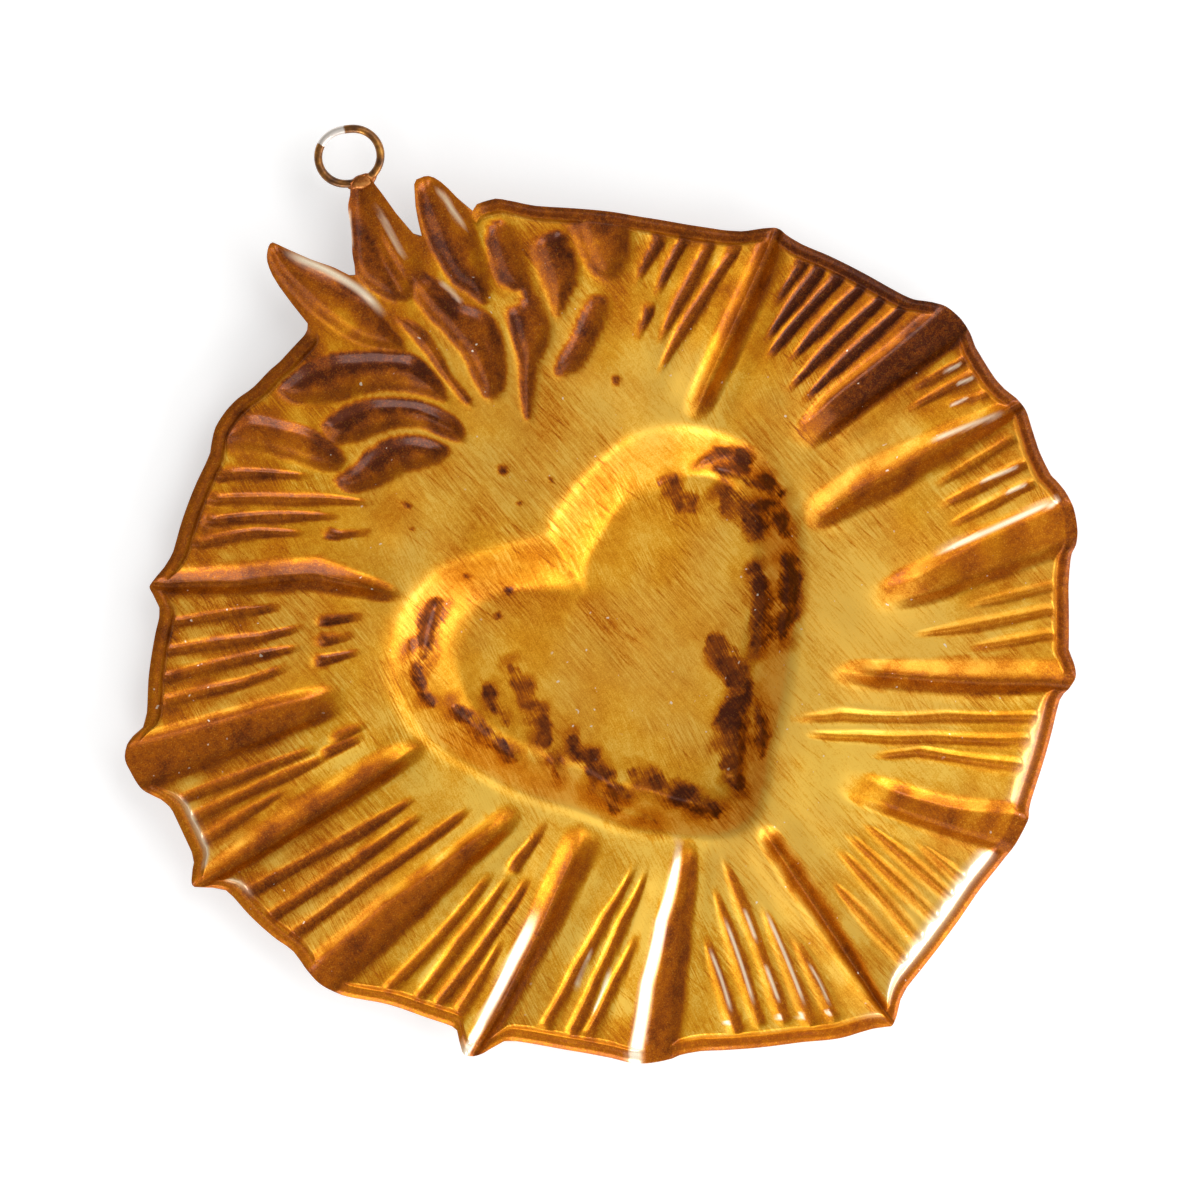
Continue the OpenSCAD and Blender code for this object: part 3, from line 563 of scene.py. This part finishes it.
    # painted highlight on the rim's wall at the lower right and the lower left
    glint = arc(theta, "glintRight") * (1 - 0.8 * between(theta, 328, 340))
    glint = np.maximum(glint, 0.7 * arc(theta, "glintLeft"))
    glint = glint * np.exp(-(((inside - foot - wide * 0.5) / (wide * 0.45)) ** 2))
    polish = np.maximum(polish, glint * (1 - inRay))
    for path, half, bare in glints:
        away, along = alongPath(x, y, path)
        ends = smooth(along * 5) * smooth((1 - along) * 5)
        polish = np.maximum(polish, bare * (1 - smooth(away / half)) * ends)
    # lacquer cleared under the painted highlights
    dark = dark * (1 - 0.9 * polish)
    brushed = np.minimum(brushed, 1 - 0.85 * smooth((foot + wide * 0.8 - inside) / 0.5) * (1 - inFlames))

    # the heart: a straight slope rounded at its lip and foot, steeper on the right and at the bottom
    heart = roundCurve(heartEdge, theta)
    into = heart - rMm
    steep = np.clip(between(theta, 195, 225) + (1 - between(theta, 55, 75)), 0, 1)
    slope = into + sheet["bowlLead"] - sheet["steepLead"] * steep
    bowl = easeCurve(*bowlCurve, np.clip(slope / (sheet["bowlWidth"] - sheet["steepWidth"] * steep), 0, 1))
    heartDepth = (sheet["bowlFloor"] - 0.1 * wander(x, y, 16, 8)) * bowl + 0.22 * smooth((into + 5) / 5)
    lip = smooth((into + 3.5) / 4)
    dark = dark + 0.07 * smooth((into - 4) / 5)
    depth = depth + softMax(grooves * (1 - 0.85 * lip), heartDepth, 0.2)
    for path, half, deep, tone in dents:
        away, along = alongPath(x, y, path)
        t = away / (half * (0.45 + 0.75 * np.sqrt(along * (1 - along))))
        depth = depth + deep * (1 - smooth(t))
        punched = np.maximum(punched, tone * (1 - smooth(t / 2.8)) * (0.92 + 0.25 * wander(x, y, 4, 15)))
        halo = 1 - smooth((away - half * 0.5) / 2.6)
        dark = np.maximum(dark, 0.46 * halo * (0.7 + 0.5 * wander(x, y, 5, 14)))
    for sx, sy, size in specks:
        (cx, cy), = toSheet([(sx, sy)])
        t = np.hypot(x - cx, y - cy) / size
        dark = np.maximum(dark, 0.85 * (1 - smooth((t - 0.3) / 0.7)))
        depth = depth + 0.12 * (1 - smooth(t))

    # painted sheen where the change is below 0, browner lacquer where it is above
    for wx, wy, radius, change in sheenAndWashes:
        (cx, cy), = toSheet([(wx, wy)])
        dark = dark + change * np.exp(-((x - cx) ** 2 + (y - cy) ** 2) / (radius / pxPerMm) ** 2)

    # the upper right of the halo keeps more lacquer
    dark = dark + 0.16 * arc(theta, "darkSide") * between(rMm, 34, 44)
    depth = np.clip(depth, 0, sheet["depth"])
    return depth, {"lacquer": dark, "brushed": brushed, "punched": punched, "polish": polish}


grid = {
    "columns": 992, "haloRings": 36, "edgeRings": 9, "diskRadius": 28.0,
    # columns that each takes
    "lineShare": 6.0, "raySideShare": 6.0, "rayFloorShare": 3.0, "flameShare": 60.0,
    "longLine": 380,        # a line that reaches this far out, in pixels, has columns of its own
    "rimAt": 436.0,         # distance whose directions the rings along the rim take
    "calmRadius": 50.5,     # the halo's even rings reach this far, mm
    # rings of the disk in the middle: first radius, last radius, count
    "diskSteps": ((1.0, 8.8, 16), (9.3, 19.5, 22), (20.0, 27.5, 17)),
    # radius inside which only every so many columns are used
    "innerSteps": ((3.2, 16), (9, 8), (19.8, 4)),
    # rings over the rim, as shares of the widths of its wall and its band
    "wallSteps": (1.3, 1.0, 0.85, 0.65, 0.45, 0.25, 0.1, 0.0),
    "bandSteps": (0.8, 0.6, 0.42, 0.25, 0.12, 0.03, 0.0),
}


def gridDirections(r):
    # directions of all columns at one distance: equal steps of the sum of an even share round the circle and
    # an eased step for every line, ray side and flame, so that columns follow them and lie closer there
    flow = [np.interp(r, ray["r"], (np.array(ray["b"]) + np.array(ray["c"])) / 2) for ray in rays]
    home = [(ray["b"][3] + ray["c"][3]) / 2 for ray in rays]
    flow += [88.0, 156.0]       # and straight columns on both sides of the flames
    home += [88.0, 156.0]
    order = np.argsort(home)
    flow, home = np.array(flow)[order], np.array(home)[order]
    flow = np.concatenate([flow[-2:] - 360, flow, flow[:2] + 360])
    home = np.concatenate([home[-2:] - 360, home, home[:2] + 360])
    steps = []
    for ray in rays:
        a, b, c, d = (np.interp(r, ray["r"], ray[k]) for k in "abcd")
        steps += [(a, b, grid["raySideShare"]), (c, d, grid["raySideShare"])]
        if ray["c"][3] - ray["b"][3] > 0.6:
            steps.append((b, c, grid["rayFloorShare"]))
    for line in lines:
        ts, rs = zip(*line[-2::-1])
        inner = (ts[1] - ts[0]) / (rs[1] - rs[0])
        outer = (ts[-1] - ts[-2]) / (rs[-1] - rs[-2])
        centre = np.interp(r, rs, ts) + inner * min(r - rs[0], 0) * 0.6 + outer * max(r - rs[-1], 0)
        half = math.degrees(sheet["lineHalf"] * 0.85 * pxPerMm / r)
        share = grid["lineShare"] if rs[-1] > grid["longLine"] else 0.0
        steps.append((centre - half, centre + half, share))
    steps.append((107.0, 153.0, grid["flameShare"]))
    at = np.linspace(-20, 380, 16001)
    total = at * (grid["columns"] - sum(share for _, _, share in steps)) / 360
    for start, end, share in steps:
        start, end = np.interp([start, end], flow, home)
        for turn in (-360, 0, 360):
            total = total + share * (between(at, start + turn, end + turn) - (turn == -360))
    columns = np.interp(np.arange(grid["columns"]), total, at)
    return np.interp(columns, home, flow)


def gridRings(coarse):
    # rings of points in plan, from the sheet's middle to its edge; coarse halves the number of columns
    disk = grid["diskRadius"]
    start = gridDirections(disk * pxPerMm)
    even = start[0] + np.arange(len(start)) * 360 / len(start)
    rings = [(np.zeros(1), np.zeros(1))]
    radii = np.concatenate([np.linspace(*steps) for steps in grid["diskSteps"]])
    radii = radii[1::2] if coarse else radii
    for radius in radii:
        every = next((skip for limit, skip in grid["innerSteps"] if radius < limit), 2)
        every *= 2 if coarse else 1
        theta = even + (start - even) * between(radius, 14, disk)
        theta = np.radians(theta[::every])
        rings.append((radius * np.cos(theta), radius * np.sin(theta)))
    every = 2 if coarse else 1
    rim = gridDirections(grid["rimAt"])[::every]
    edge = roundCurve(outline, rim) / pxPerMm
    foot = sheet["bandWidth"]
    wide, _ = rimSizes(rim % 360)
    inner = edge - foot - wide * grid["wallSteps"][0]
    calm = np.minimum(inner - 0.6, grid["calmRadius"])
    span = np.arange(-20, 21)[:, None] // every
    calm = calm[(np.arange(len(rim)) + span) % len(rim)].min(axis=0)
    calm = calm[(np.arange(len(rim)) + span) % len(rim)].mean(axis=0)
    count = grid["haloRings"] // every
    for i in range(count):
        radius = disk + (calm - disk) * i / count
        typical = disk + (50.0 - disk) * i / count
        theta = np.radians(gridDirections(typical * pxPerMm)[::every])
        rings.append((radius * np.cos(theta), radius * np.sin(theta)))
    count = grid["edgeRings"]
    for i in range(count):
        radius = calm + (inner - calm) * i / count
        theta = np.radians(gridDirections(400.0 + (grid["rimAt"] - 400.0) * i / count)[::every])
        rings.append((radius * np.cos(theta), radius * np.sin(theta)))
    theta = np.radians(rim)
    insets = [foot + wide * share for share in grid["wallSteps"]]
    insets += [foot * share for share in grid["bandSteps"]]
    for inset in insets:
        radius = edge - inset
        rings.append((radius * np.cos(theta), radius * np.sin(theta)))
    return rings


def ringFaces(firsts, counts):
    # faces between rings that follow each other, wound so that they point away from the solid
    faces = []
    for (p, n), (q, m) in zip(zip(firsts[:-1], counts[:-1]), zip(firsts[1:], counts[1:])):
        k = np.arange(max(n, m))
        if n == 1:
            faces.append(np.stack([np.full(m, p), q + k, q + (k + 1) % m, np.full(m, -1)], 1))
        elif m == 1:
            faces.append(np.stack([p + k, np.full(n, q), p + (k + 1) % n, np.full(n, -1)], 1))
        elif n == m:
            faces.append(np.stack([p + k, q + k, q + (k + 1) % m, p + (k + 1) % n], 1))
        elif m == 2 * n:
            k = np.arange(n)
            k1 = (k + 1) % n
            none = np.full(n, -1)
            faces.append(np.stack([p + k, q + 2 * k, q + 2 * k + 1, none], 1))
            faces.append(np.stack([p + k, q + 2 * k + 1, p + k1, none], 1))
            faces.append(np.stack([p + k1, q + 2 * k + 1, q + (2 * k + 2) % m, none], 1))
        else:
            k = np.arange(m)
            k1 = (k + 1) % m
            none = np.full(m, -1)
            faces.append(np.stack([p + 2 * k, q + k, p + 2 * k + 1, none], 1))
            faces.append(np.stack([p + 2 * k + 1, q + k, q + k1, none], 1))
            faces.append(np.stack([p + 2 * k + 1, q + k1, p + (2 * k + 2) % n, none], 1))
    return np.vstack(faces)


def makeMesh(name, points, faces, material, attributes=None):
    # points in millimetres in the part's frame; a face with -1 is a triangle
    mesh = bpy.data.meshes.new(name)
    tri = faces[:, 3] < 0
    order = np.concatenate([faces[tri][:, :3].ravel(), faces[~tri].ravel()]).astype(np.int32)
    sizes = np.concatenate([np.full(tri.sum(), 3), np.full((~tri).sum(), 4)]).astype(np.int32)
    mesh.vertices.add(len(points))
    mesh.vertices.foreach_set("co", (points * mm).astype(np.float32).ravel())
    mesh.loops.add(len(order))
    mesh.loops.foreach_set("vertex_index", order)
    mesh.polygons.add(len(sizes))
    starts = np.concatenate([[0], np.cumsum(sizes)[:-1]]).astype(np.int32)
    mesh.polygons.foreach_set("loop_start", starts)
    mesh.polygons.foreach_set("loop_total", sizes)
    mesh.polygons.foreach_set("use_smooth", np.ones(len(sizes), bool))
    for key, values in (attributes or {}).items():
        mesh.attributes.new(key, "FLOAT", "POINT").data.foreach_set("value", values.astype(np.float32))
    mesh.update(calc_edges=True)
    mesh.validate()
    obj = bpy.data.objects.new(name, mesh)
    bpy.context.scene.collection.objects.link(obj)
    mesh.materials.append(material)
    return obj


def makeSheet(material):
    # upper face from the middle to the edge, then the lower face back to the middle, one thickness below it
    upper = gridRings(False)
    lower = gridRings(True)[::-1]
    firsts, counts, xs, ys = [], [], [], []
    total = 0
    for x, y in upper + lower:
        firsts.append(total)
        counts.append(len(x))
        total += len(x)
        xs.append(x)
        ys.append(y)
    x, y = np.concatenate(xs), np.concatenate(ys)
    depth, shares = sheetForm(x, y)
    isLower = np.arange(total) >= firsts[len(upper)]
    z = sheet["depth"] + sheet["thickness"] - depth - np.where(isLower, sheet["thickness"], 0.0)
    px, py = toPart(x, y)
    low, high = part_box("embossed_sheet")
    px = np.clip(px, low[0] / mm, high[0] / mm)
    py = np.clip(py, low[1] / mm, high[1] / mm)
    points = np.stack([px, py, z], 1)
    faces = ringFaces(firsts, counts)
    print("sheet:", len(points), "points,", int(np.where(faces[:, 3] < 0, 1, 2).sum()), "triangles")
    shares = {key: np.clip(share, 0, 1) for key, share in shares.items()}
    return makeMesh("pressed_sheet", points, faces, material, shares)


class Sock:
    # one output socket; + - and * on sockets and numbers add Math nodes
    def __init__(self, kit, socket):
        self.kit, self.socket = kit, socket

    def sum(self, other, operation, swap=False):
        a, b = (other, self) if swap else (self, other)
        return self.kit.node("ShaderNodeMath", {"operation": operation}, {0: a, 1: b})

    def __add__(self, other):
        return self.sum(other, "ADD")

    def __radd__(self, other):
        return self.sum(other, "ADD", True)

    def __sub__(self, other):
        return self.sum(other, "SUBTRACT")

    def __rsub__(self, other):
        return self.sum(other, "SUBTRACT", True)

    def __mul__(self, other):
        return self.sum(other, "MULTIPLY")

    def __rmul__(self, other):
        return self.sum(other, "MULTIPLY", True)


class Kit:
    # a material's node tree with one method that adds any node
    def __init__(self, name):
        self.material = bpy.data.materials.new(name)
        self.material.use_nodes = True
        self.tree = self.material.node_tree
        self.tree.nodes.clear()

    def node(self, kind, settings=None, values=None, out=0):
        n = self.tree.nodes.new(kind)
        for key, value in (settings or {}).items():
            if key == "stops":
                while len(n.color_ramp.elements) < len(value):
                    n.color_ramp.elements.new(0.5)
                for stop, (at, shade) in zip(n.color_ramp.elements, value):
                    stop.position, stop.color = at, (*colour(*shade), 1.0)
            else:
                setattr(n, key, value)
        for key, value in (values or {}).items():
            if isinstance(value, Sock):
                self.tree.links.new(value.socket, n.inputs[key])
            else:
                n.inputs[key].default_value = value
        return Sock(self, n.outputs[out]) if len(n.outputs) else n

    def step(self, value, low, high):
        # 0 below low, 1 above high, eased between
        values = {"Value": value, "From Min": low, "From Max": high, "To Min": 0.0, "To Max": 1.0}
        return self.node("ShaderNodeMapRange", {"interpolation_type": "SMOOTHSTEP"}, values)

    def noise(self, vector, scale, detail=3.0, rough=0.55):
        values = {"Vector": vector, "Scale": scale, "Detail": detail, "Roughness": rough}
        return self.node("ShaderNodeTexNoise", {}, values)

    def place(self):
        # Object coordinates
        return self.node("ShaderNodeTexCoord", out=3)

    def share(self, name):
        # a share that the mesh carries on its points
        return self.node("ShaderNodeAttribute", {"attribute_name": name}, out=2)

    def paintOf(self, amount, stops):
        # a colour ramp over amount
        return self.node("ShaderNodeValToRGB", {"stops": stops}, {"Fac": amount})

    def mixColour(self, factor, paint, shade):
        # paint blended to a fixed colour by factor
        values = {0: factor, 6: paint, 7: (*colour(*shade), 1.0)}
        return self.node("ShaderNodeMix", {"data_type": "RGBA"}, values, out=2)

    def bump(self, strength, distance, height):
        values = {"Strength": strength, "Distance": distance, "Height": height}
        return self.node("ShaderNodeBump", {}, values)

    def finish(self, inputs):
        shader = self.node("ShaderNodeBsdfPrincipled", {}, inputs)
        self.node("ShaderNodeOutputMaterial", {}, {"Surface": shader})
        return self.material


def colour(r, g, b):
    # a screen colour 0..255 as linear light
    return tuple(((v / 255 + 0.055) / 1.055) ** 2.4 if v > 10 else v / 255 / 12.92 for v in (r, g, b))


lacquerLook = {
    # tones of the lacquer and the screen colour at each
    "stops": ((0.0, (248, 200, 84)), (0.16, (230, 162, 36)), (0.34, (202, 122, 12)), (0.52, (172, 90, 4)),
              (0.72, (132, 62, 3)), (0.97, (76, 28, 3))),
    # bare: the near-white of the painted highlights and of the one chip of bare tin
    "khaki": (214, 160, 70), "foil": (255, 196, 70), "dust": (240, 228, 205), "bare": (250, 238, 214),
    "metalGold": 0.60, "metalLacquer": 0.28, "roughGold": 0.42, "roughLacquer": 0.38, "roughPolish": 0.26,
    "coat": 0.07, "coatRough": 0.16, "coatIor": 1.9, "specular": 0.12,
    "brushTurns": ((-80, 4200, 260), (-94, 5200, 300), (-68, 3000, 160)),   # degrees, scale across and along
    "bumpStrength": 0.35, "bumpHeight": 0.00012,
}


def lacquerMaterial():
    # tone = lacquer share (with painted shade and sheen) + coarse noise + brush streaks + fine grain, and a
    # noise of its own in the dents. Colour = ramp(tone), with dull patches, foil flakes, dust, and painted
    # highlights with one chip of bare tin over it. Gold is more metallic
    look = lacquerLook
    kit = Kit("antique gold over lacquer")
    where = kit.place()
    dark, brushed, punched, polish = (kit.share(name) for name in ("lacquer", "brushed", "punched", "polish"))
    streaks = []
    for turn, across, along in look["brushTurns"]:
        values = {"Vector": where, "Rotation": (0, 0, math.radians(-turn))}
        rotated = kit.node("ShaderNodeMapping", {"vector_type": "POINT"}, values)
        values = {0: rotated, 1: (along, across, along)}
        stretched = kit.node("ShaderNodeVectorMath", {"operation": "MULTIPLY"}, values)
        streaks.append(kit.noise(stretched, 1.0, 2.0, 0.6))
    pick = kit.step(kit.noise(where, 60, 2), 0.42, 0.58)
    streak = streaks[0] * pick + streaks[1] * (1 - pick) - 0.5
    strong = kit.step(streaks[2], 0.56, 0.72)
    cloud = kit.noise(where, 120, 4, 0.6) - 0.5
    patch = 0.35 + kit.step(kit.noise(where, 90, 2), 0.40, 0.62)
    fine = kit.noise(where, 1100, 3, 0.7) - 0.5
    grain = kit.noise(where, 5600, 2, 0.7) - 0.5
    dent = kit.step(punched + streak * 0.5 + fine * 0.4 + cloud * 0.8, 0.38, 0.9)
    tone = dark + cloud * 0.40 + fine * (0.2 + dark * 0.5)
    tone = tone + (streak * 0.7 + strong * 0.16) * brushed * patch + grain * (0.4 + dark * 0.3)
    tone = tone + (0.82 + cloud * 1.1 + fine * 0.6 + streak * 0.5 - tone) * dent
    paint = kit.paintOf(tone, look["stops"])
    dull = kit.step(kit.noise(where, 45, 3), 0.44, 0.62) * (1 - kit.step(tone, 0.15, 0.45))
    paint = kit.mixColour(dull * 0.4, paint, look["khaki"])
    flake = kit.step(kit.noise(where, 5200, 1, 0.5), 0.60, 0.74)
    paint = kit.mixColour(flake * (0.3 - kit.step(tone, 0.3, 0.9) * 0.22), paint, look["foil"])
    dust = kit.step(kit.noise(where, 1300, 1, 0.5), 0.755, 0.79) * kit.step(kit.noise(where, 38, 1), 0.5, 0.6)
    paint = kit.mixColour(dust * 0.8, paint, look["dust"])
    # painted highlights, and the chip of bare tin, in near-white
    paint = kit.mixColour(polish * 0.9, paint, look["bare"])
    shine = kit.step(tone, 0.2, 0.7)
    metal = look["metalGold"] + (look["metalLacquer"] - look["metalGold"]) * shine
    rough = look["roughGold"] + (look["roughLacquer"] - look["roughGold"]) * shine + grain * 0.12
    height = (streak + strong * 0.3) * brushed * 0.35 + grain * 0.3 + fine * 0.2
    return kit.finish({
        "Base Color": paint,
        "Metallic": metal * (1 - polish * 0.75),
        "Roughness": rough + (look["roughPolish"] - look["roughGold"]) * polish,
        "Specular IOR Level": look["specular"],
        "Coat Weight": shine * look["coat"] + polish,
        "Coat Roughness": look["coatRough"],
        "Coat IOR": look["coatIor"],
        "Normal": kit.bump(look["bumpStrength"], look["bumpHeight"], height),
    })


wireLook = {
    "stops": ((0.3, (206, 146, 58)), (0.42, (160, 102, 34)), (0.56, (116, 70, 20)), (0.72, (70, 38, 10))),
    "bare": (240, 230, 220), "metal": 0.6, "rough": 0.28, "coat": 0.3, "coatRough": 0.15,
    "bumpStrength": 0.3, "bumpHeight": 0.0001,
}


def wireMaterial():
    # colour = ramp(noise), and bare metal where the worn share of the upper left arc is high
    look = wireLook
    kit = Kit("lacquered wire")
    where = kit.place()
    cloud = kit.noise(where, 700, 4, 0.6)
    bare = kit.step(kit.share("worn") + (cloud - 0.5) * 0.5, 0.4, 0.55)
    paint = kit.mixColour(bare, kit.paintOf(cloud, look["stops"]), look["bare"])
    return kit.finish({
        "Base Color": paint,
        "Metallic": look["metal"],
        "Roughness": look["rough"] + cloud * 0.15,
        "Coat Weight": look["coat"],
        "Coat Roughness": look["coatRough"],
        "Normal": kit.bump(look["bumpStrength"], look["bumpHeight"], kit.noise(where, 2500, 3)),
    })


solderLook = {
    "stops": ((0.35, (206, 134, 62)), (0.5, (166, 92, 22)), (0.68, (116, 58, 8))),
    "metal": 0.6, "rough": 0.3, "coat": 0.2, "coatRough": 0.2, "bumpStrength": 0.4, "bumpHeight": 0.0001,
}


def solderMaterial():
    # patchy solder under thin lacquer: colour = ramp(noise), rougher and higher where the noise is high
    look = solderLook
    kit = Kit("lacquered solder")
    cloud = kit.noise(kit.place(), 1300, 4, 0.6)
    return kit.finish({
        "Base Color": kit.paintOf(cloud, look["stops"]),
        "Metallic": look["metal"],
        "Roughness": look["rough"] + cloud * 0.2,
        "Coat Weight": look["coat"],
        "Coat Roughness": look["coatRough"],
        "Normal": kit.bump(look["bumpStrength"], look["bumpHeight"], cloud),
    })


sheetObject = makeSheet(lacquerMaterial())
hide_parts("embossed_sheet")
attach(sheetObject, "root")
print("sheet made")

ring = {
    "wire": 1.05, "endRadius": 3.4, "side": 1.0,    # thickness, and radius and straight side of the oval, mm
    "turn": -21.0, "middle": (2.5, 61.97, 5.375), "waver": 0.03,
    "wornAt": 118, "wornFade": 24,                  # degrees round the ring where the wire is bare
    "around": 160, "across": 24,                    # points
}


def makeRing(material):
    # a round wire along an oval, turned and slightly wavering: x = R cos u + half the straight side with the
    # sign of cos u, eased, and y = R sin u
    around, across = ring["around"], ring["across"]
    u = np.arange(around) * 2 * math.pi / around
    c = np.cos(u)
    px = ring["endRadius"] * c + ring["side"] / 2 * c / np.sqrt(c * c + 0.12) * math.sqrt(1.12)
    py = ring["endRadius"] * np.sin(u)
    tx, ty = (np.gradient(np.concatenate([p[-1:], p, p[:1]]))[1:-1] for p in (px, py))
    size = np.hypot(tx, ty)
    nx, ny = ty / size, -tx / size
    v = np.arange(across) * 2 * math.pi / across
    radius = ring["wire"] / 2 * (1 + ring["waver"] * np.sin(u * 5 + 1)[:, None] * 0.5 - ring["waver"] * 0.5)
    x = px[:, None] + nx[:, None] * radius * np.cos(v)
    y = py[:, None] + ny[:, None] * radius * np.cos(v)
    z = radius * np.sin(v) * np.ones((around, 1))
    a = math.radians(ring["turn"])
    mx, my, mz = ring["middle"]
    x, y = x * math.cos(a) - y * math.sin(a), x * math.sin(a) + y * math.cos(a)
    points = np.stack([(x + mx).ravel(), (y + my).ravel(), (z + mz).ravel()], 1)
    number = np.arange(around * across).reshape(around, across)
    after, beside = np.roll(number, -1, axis=0), np.roll(number, -1, axis=1)
    faces = np.stack([number, after, np.roll(after, -1, axis=1), beside], -1).reshape(-1, 4)
    worn = smooth(1.6 - np.abs(turned(np.degrees(u) - ring["wornAt"])) / ring["wornFade"])
    worn = worn[:, None] * np.ones(across)
    return makeMesh("wire_ring", points, faces, material, {"worn": worn.ravel()})


ringObject = makeRing(wireMaterial())
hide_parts("hanging_ring")
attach(ringObject, "root")

solder = {
    "halfLength": 2.1, "halfWidth": 0.95, "low": 4.5, "high": 6.0, "turn": -10.0,   # mm and degrees
    "lumps": 0.07, "around": 48, "rows": 24,
}


def makeSolder(material):
    # a lumpy bean round the wire: an ellipsoid with its poles flattened, drawn in unevenly by slow waves
    around, rows = solder["around"], solder["rows"]
    u = np.arange(around) * 2 * math.pi / around
    w = np.linspace(0, math.pi, rows + 1)[1:-1]
    low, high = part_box("solder_bead")
    cx, cy = (low[0] + high[0]) / 2 / mm, (low[1] + high[1]) / 2 / mm
    cz = (solder["low"] + solder["high"]) / 2
    uu, ww = np.meshgrid(u, w)
    px = solder["halfLength"] * np.cos(uu) * np.sin(ww) ** 0.8
    py = solder["halfWidth"] * np.sin(uu) * np.sin(ww) ** 0.8
    pz = (solder["high"] - solder["low"]) / 2 * np.sign(np.cos(ww)) * np.abs(np.cos(ww)) ** 0.7
    lump = 1 - solder["lumps"] * (1 + wander(px, py + pz, 1.6, 21))
    px, py = px * lump, py * lump
    a = math.radians(solder["turn"])
    x = px * math.cos(a) - py * math.sin(a) + cx
    y = px * math.sin(a) + py * math.cos(a) + cy
    points = np.stack([x.ravel(), y.ravel(), (pz + cz).ravel()], 1)
    points = np.vstack([[[cx, cy, solder["high"]]], points, [[cx, cy, solder["low"]]]])
    counts = [1] + [around] * (rows - 1) + [1]
    firsts = np.concatenate([[0], np.cumsum(counts)[:-1]]).tolist()
    return makeMesh("solder_fillet", points, ringFaces(firsts, counts), material)


solderObject = makeSolder(solderMaterial())
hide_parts("solder_bead")
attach(solderObject, "root")
print("ring and solder made")

stage = {
    "pictureWidth": 0.150, "cameraHeight": 0.6, "pictureCentre": (600, 600),    # metres and pixels
    "world": 0.31, "worldColour": (1.0, 0.98, 0.96), "floor": 0.62, "glow": 0.54, "floorHalf": 3.0,
    # name, picture direction, height above the floor in degrees, distance, size, watts
    "lamps": [
        ("upper right", 40, 48, 0.55, 0.60, 1.4), ("below", -102, 24, 0.46, 0.26, 1.2),
        ("lower right", -28, 20, 0.40, 0.36, 1.6),
    ],
}


def makeStage():
    # floor, lamps on a circle round the sheet, and the camera straight above, turned with the picture
    mesh = bpy.data.meshes.new("floor")
    h = stage["floorHalf"]
    mesh.from_pydata([(-h, -h, 0), (h, -h, 0), (h, h, 0), (-h, h, 0)], [], [(0, 1, 2, 3)])
    floor = bpy.data.objects.new("floor", mesh)
    bpy.context.scene.collection.objects.link(floor)
    kit = Kit("white floor")
    # camera, glossy and transmission rays see the floor's own glow
    seen, glossy, through = (kit.node("ShaderNodeLightPath", out=ray) for ray in (0, 3, 6))
    seen = seen + glossy + through
    body = kit.node("ShaderNodeBsdfDiffuse", {}, {"Color": (*[stage["floor"]] * 3, 1)})
    glow = kit.node("ShaderNodeEmission", {}, {"Color": (1, 1, 1, 1), "Strength": seen * stage["glow"]})
    both = kit.node("ShaderNodeAddShader", {}, {0: body, 1: glow})
    kit.node("ShaderNodeOutputMaterial", {}, {"Surface": both})
    mesh.materials.append(kit.material)

    world = bpy.data.worlds.new("studio")
    bpy.context.scene.world = world
    world.use_nodes = True
    nodes, links = world.node_tree.nodes, world.node_tree.links
    nodes["Background"].inputs[0].default_value = (*stage["worldColour"], 1)
    seen, level = nodes.new("ShaderNodeLightPath"), nodes.new("ShaderNodeMapRange")
    level.inputs["To Min"].default_value = stage["world"]
    links.new(seen.outputs["Is Camera Ray"], level.inputs["Value"])
    links.new(level.outputs[0], nodes["Background"].inputs[1])

    for name, turn, high, distance, size, watts in stage["lamps"]:
        light = bpy.data.lights.new(name, "AREA")
        light.shape, light.size, light.energy = "DISK", size, watts
        obj = bpy.data.objects.new(name, light)
        a, e = math.radians(turn - viewTurn), math.radians(high)
        way = Vector((math.cos(a) * math.cos(e), math.sin(a) * math.cos(e), math.sin(e)))
        obj.location = way * distance
        obj.rotation_euler = way.to_track_quat("Z", "Y").to_euler()
        bpy.context.scene.collection.objects.link(obj)

    lens = bpy.data.cameras.new("camera")
    lens.type, lens.ortho_scale = "ORTHO", stage["pictureWidth"]
    camera = bpy.data.objects.new("camera", lens)
    (mx, my), = toSheet([stage["pictureCentre"]])
    px, py = toPart(mx, my)
    camera.location = (px * mm, py * mm, stage["cameraHeight"])
    camera.rotation_euler = (0, 0, math.radians(-viewTurn))
    bpy.context.scene.collection.objects.link(camera)
    bpy.context.scene.camera = camera


makeStage()
bpy.context.scene.view_settings.view_transform = "Standard"
print("stage made")
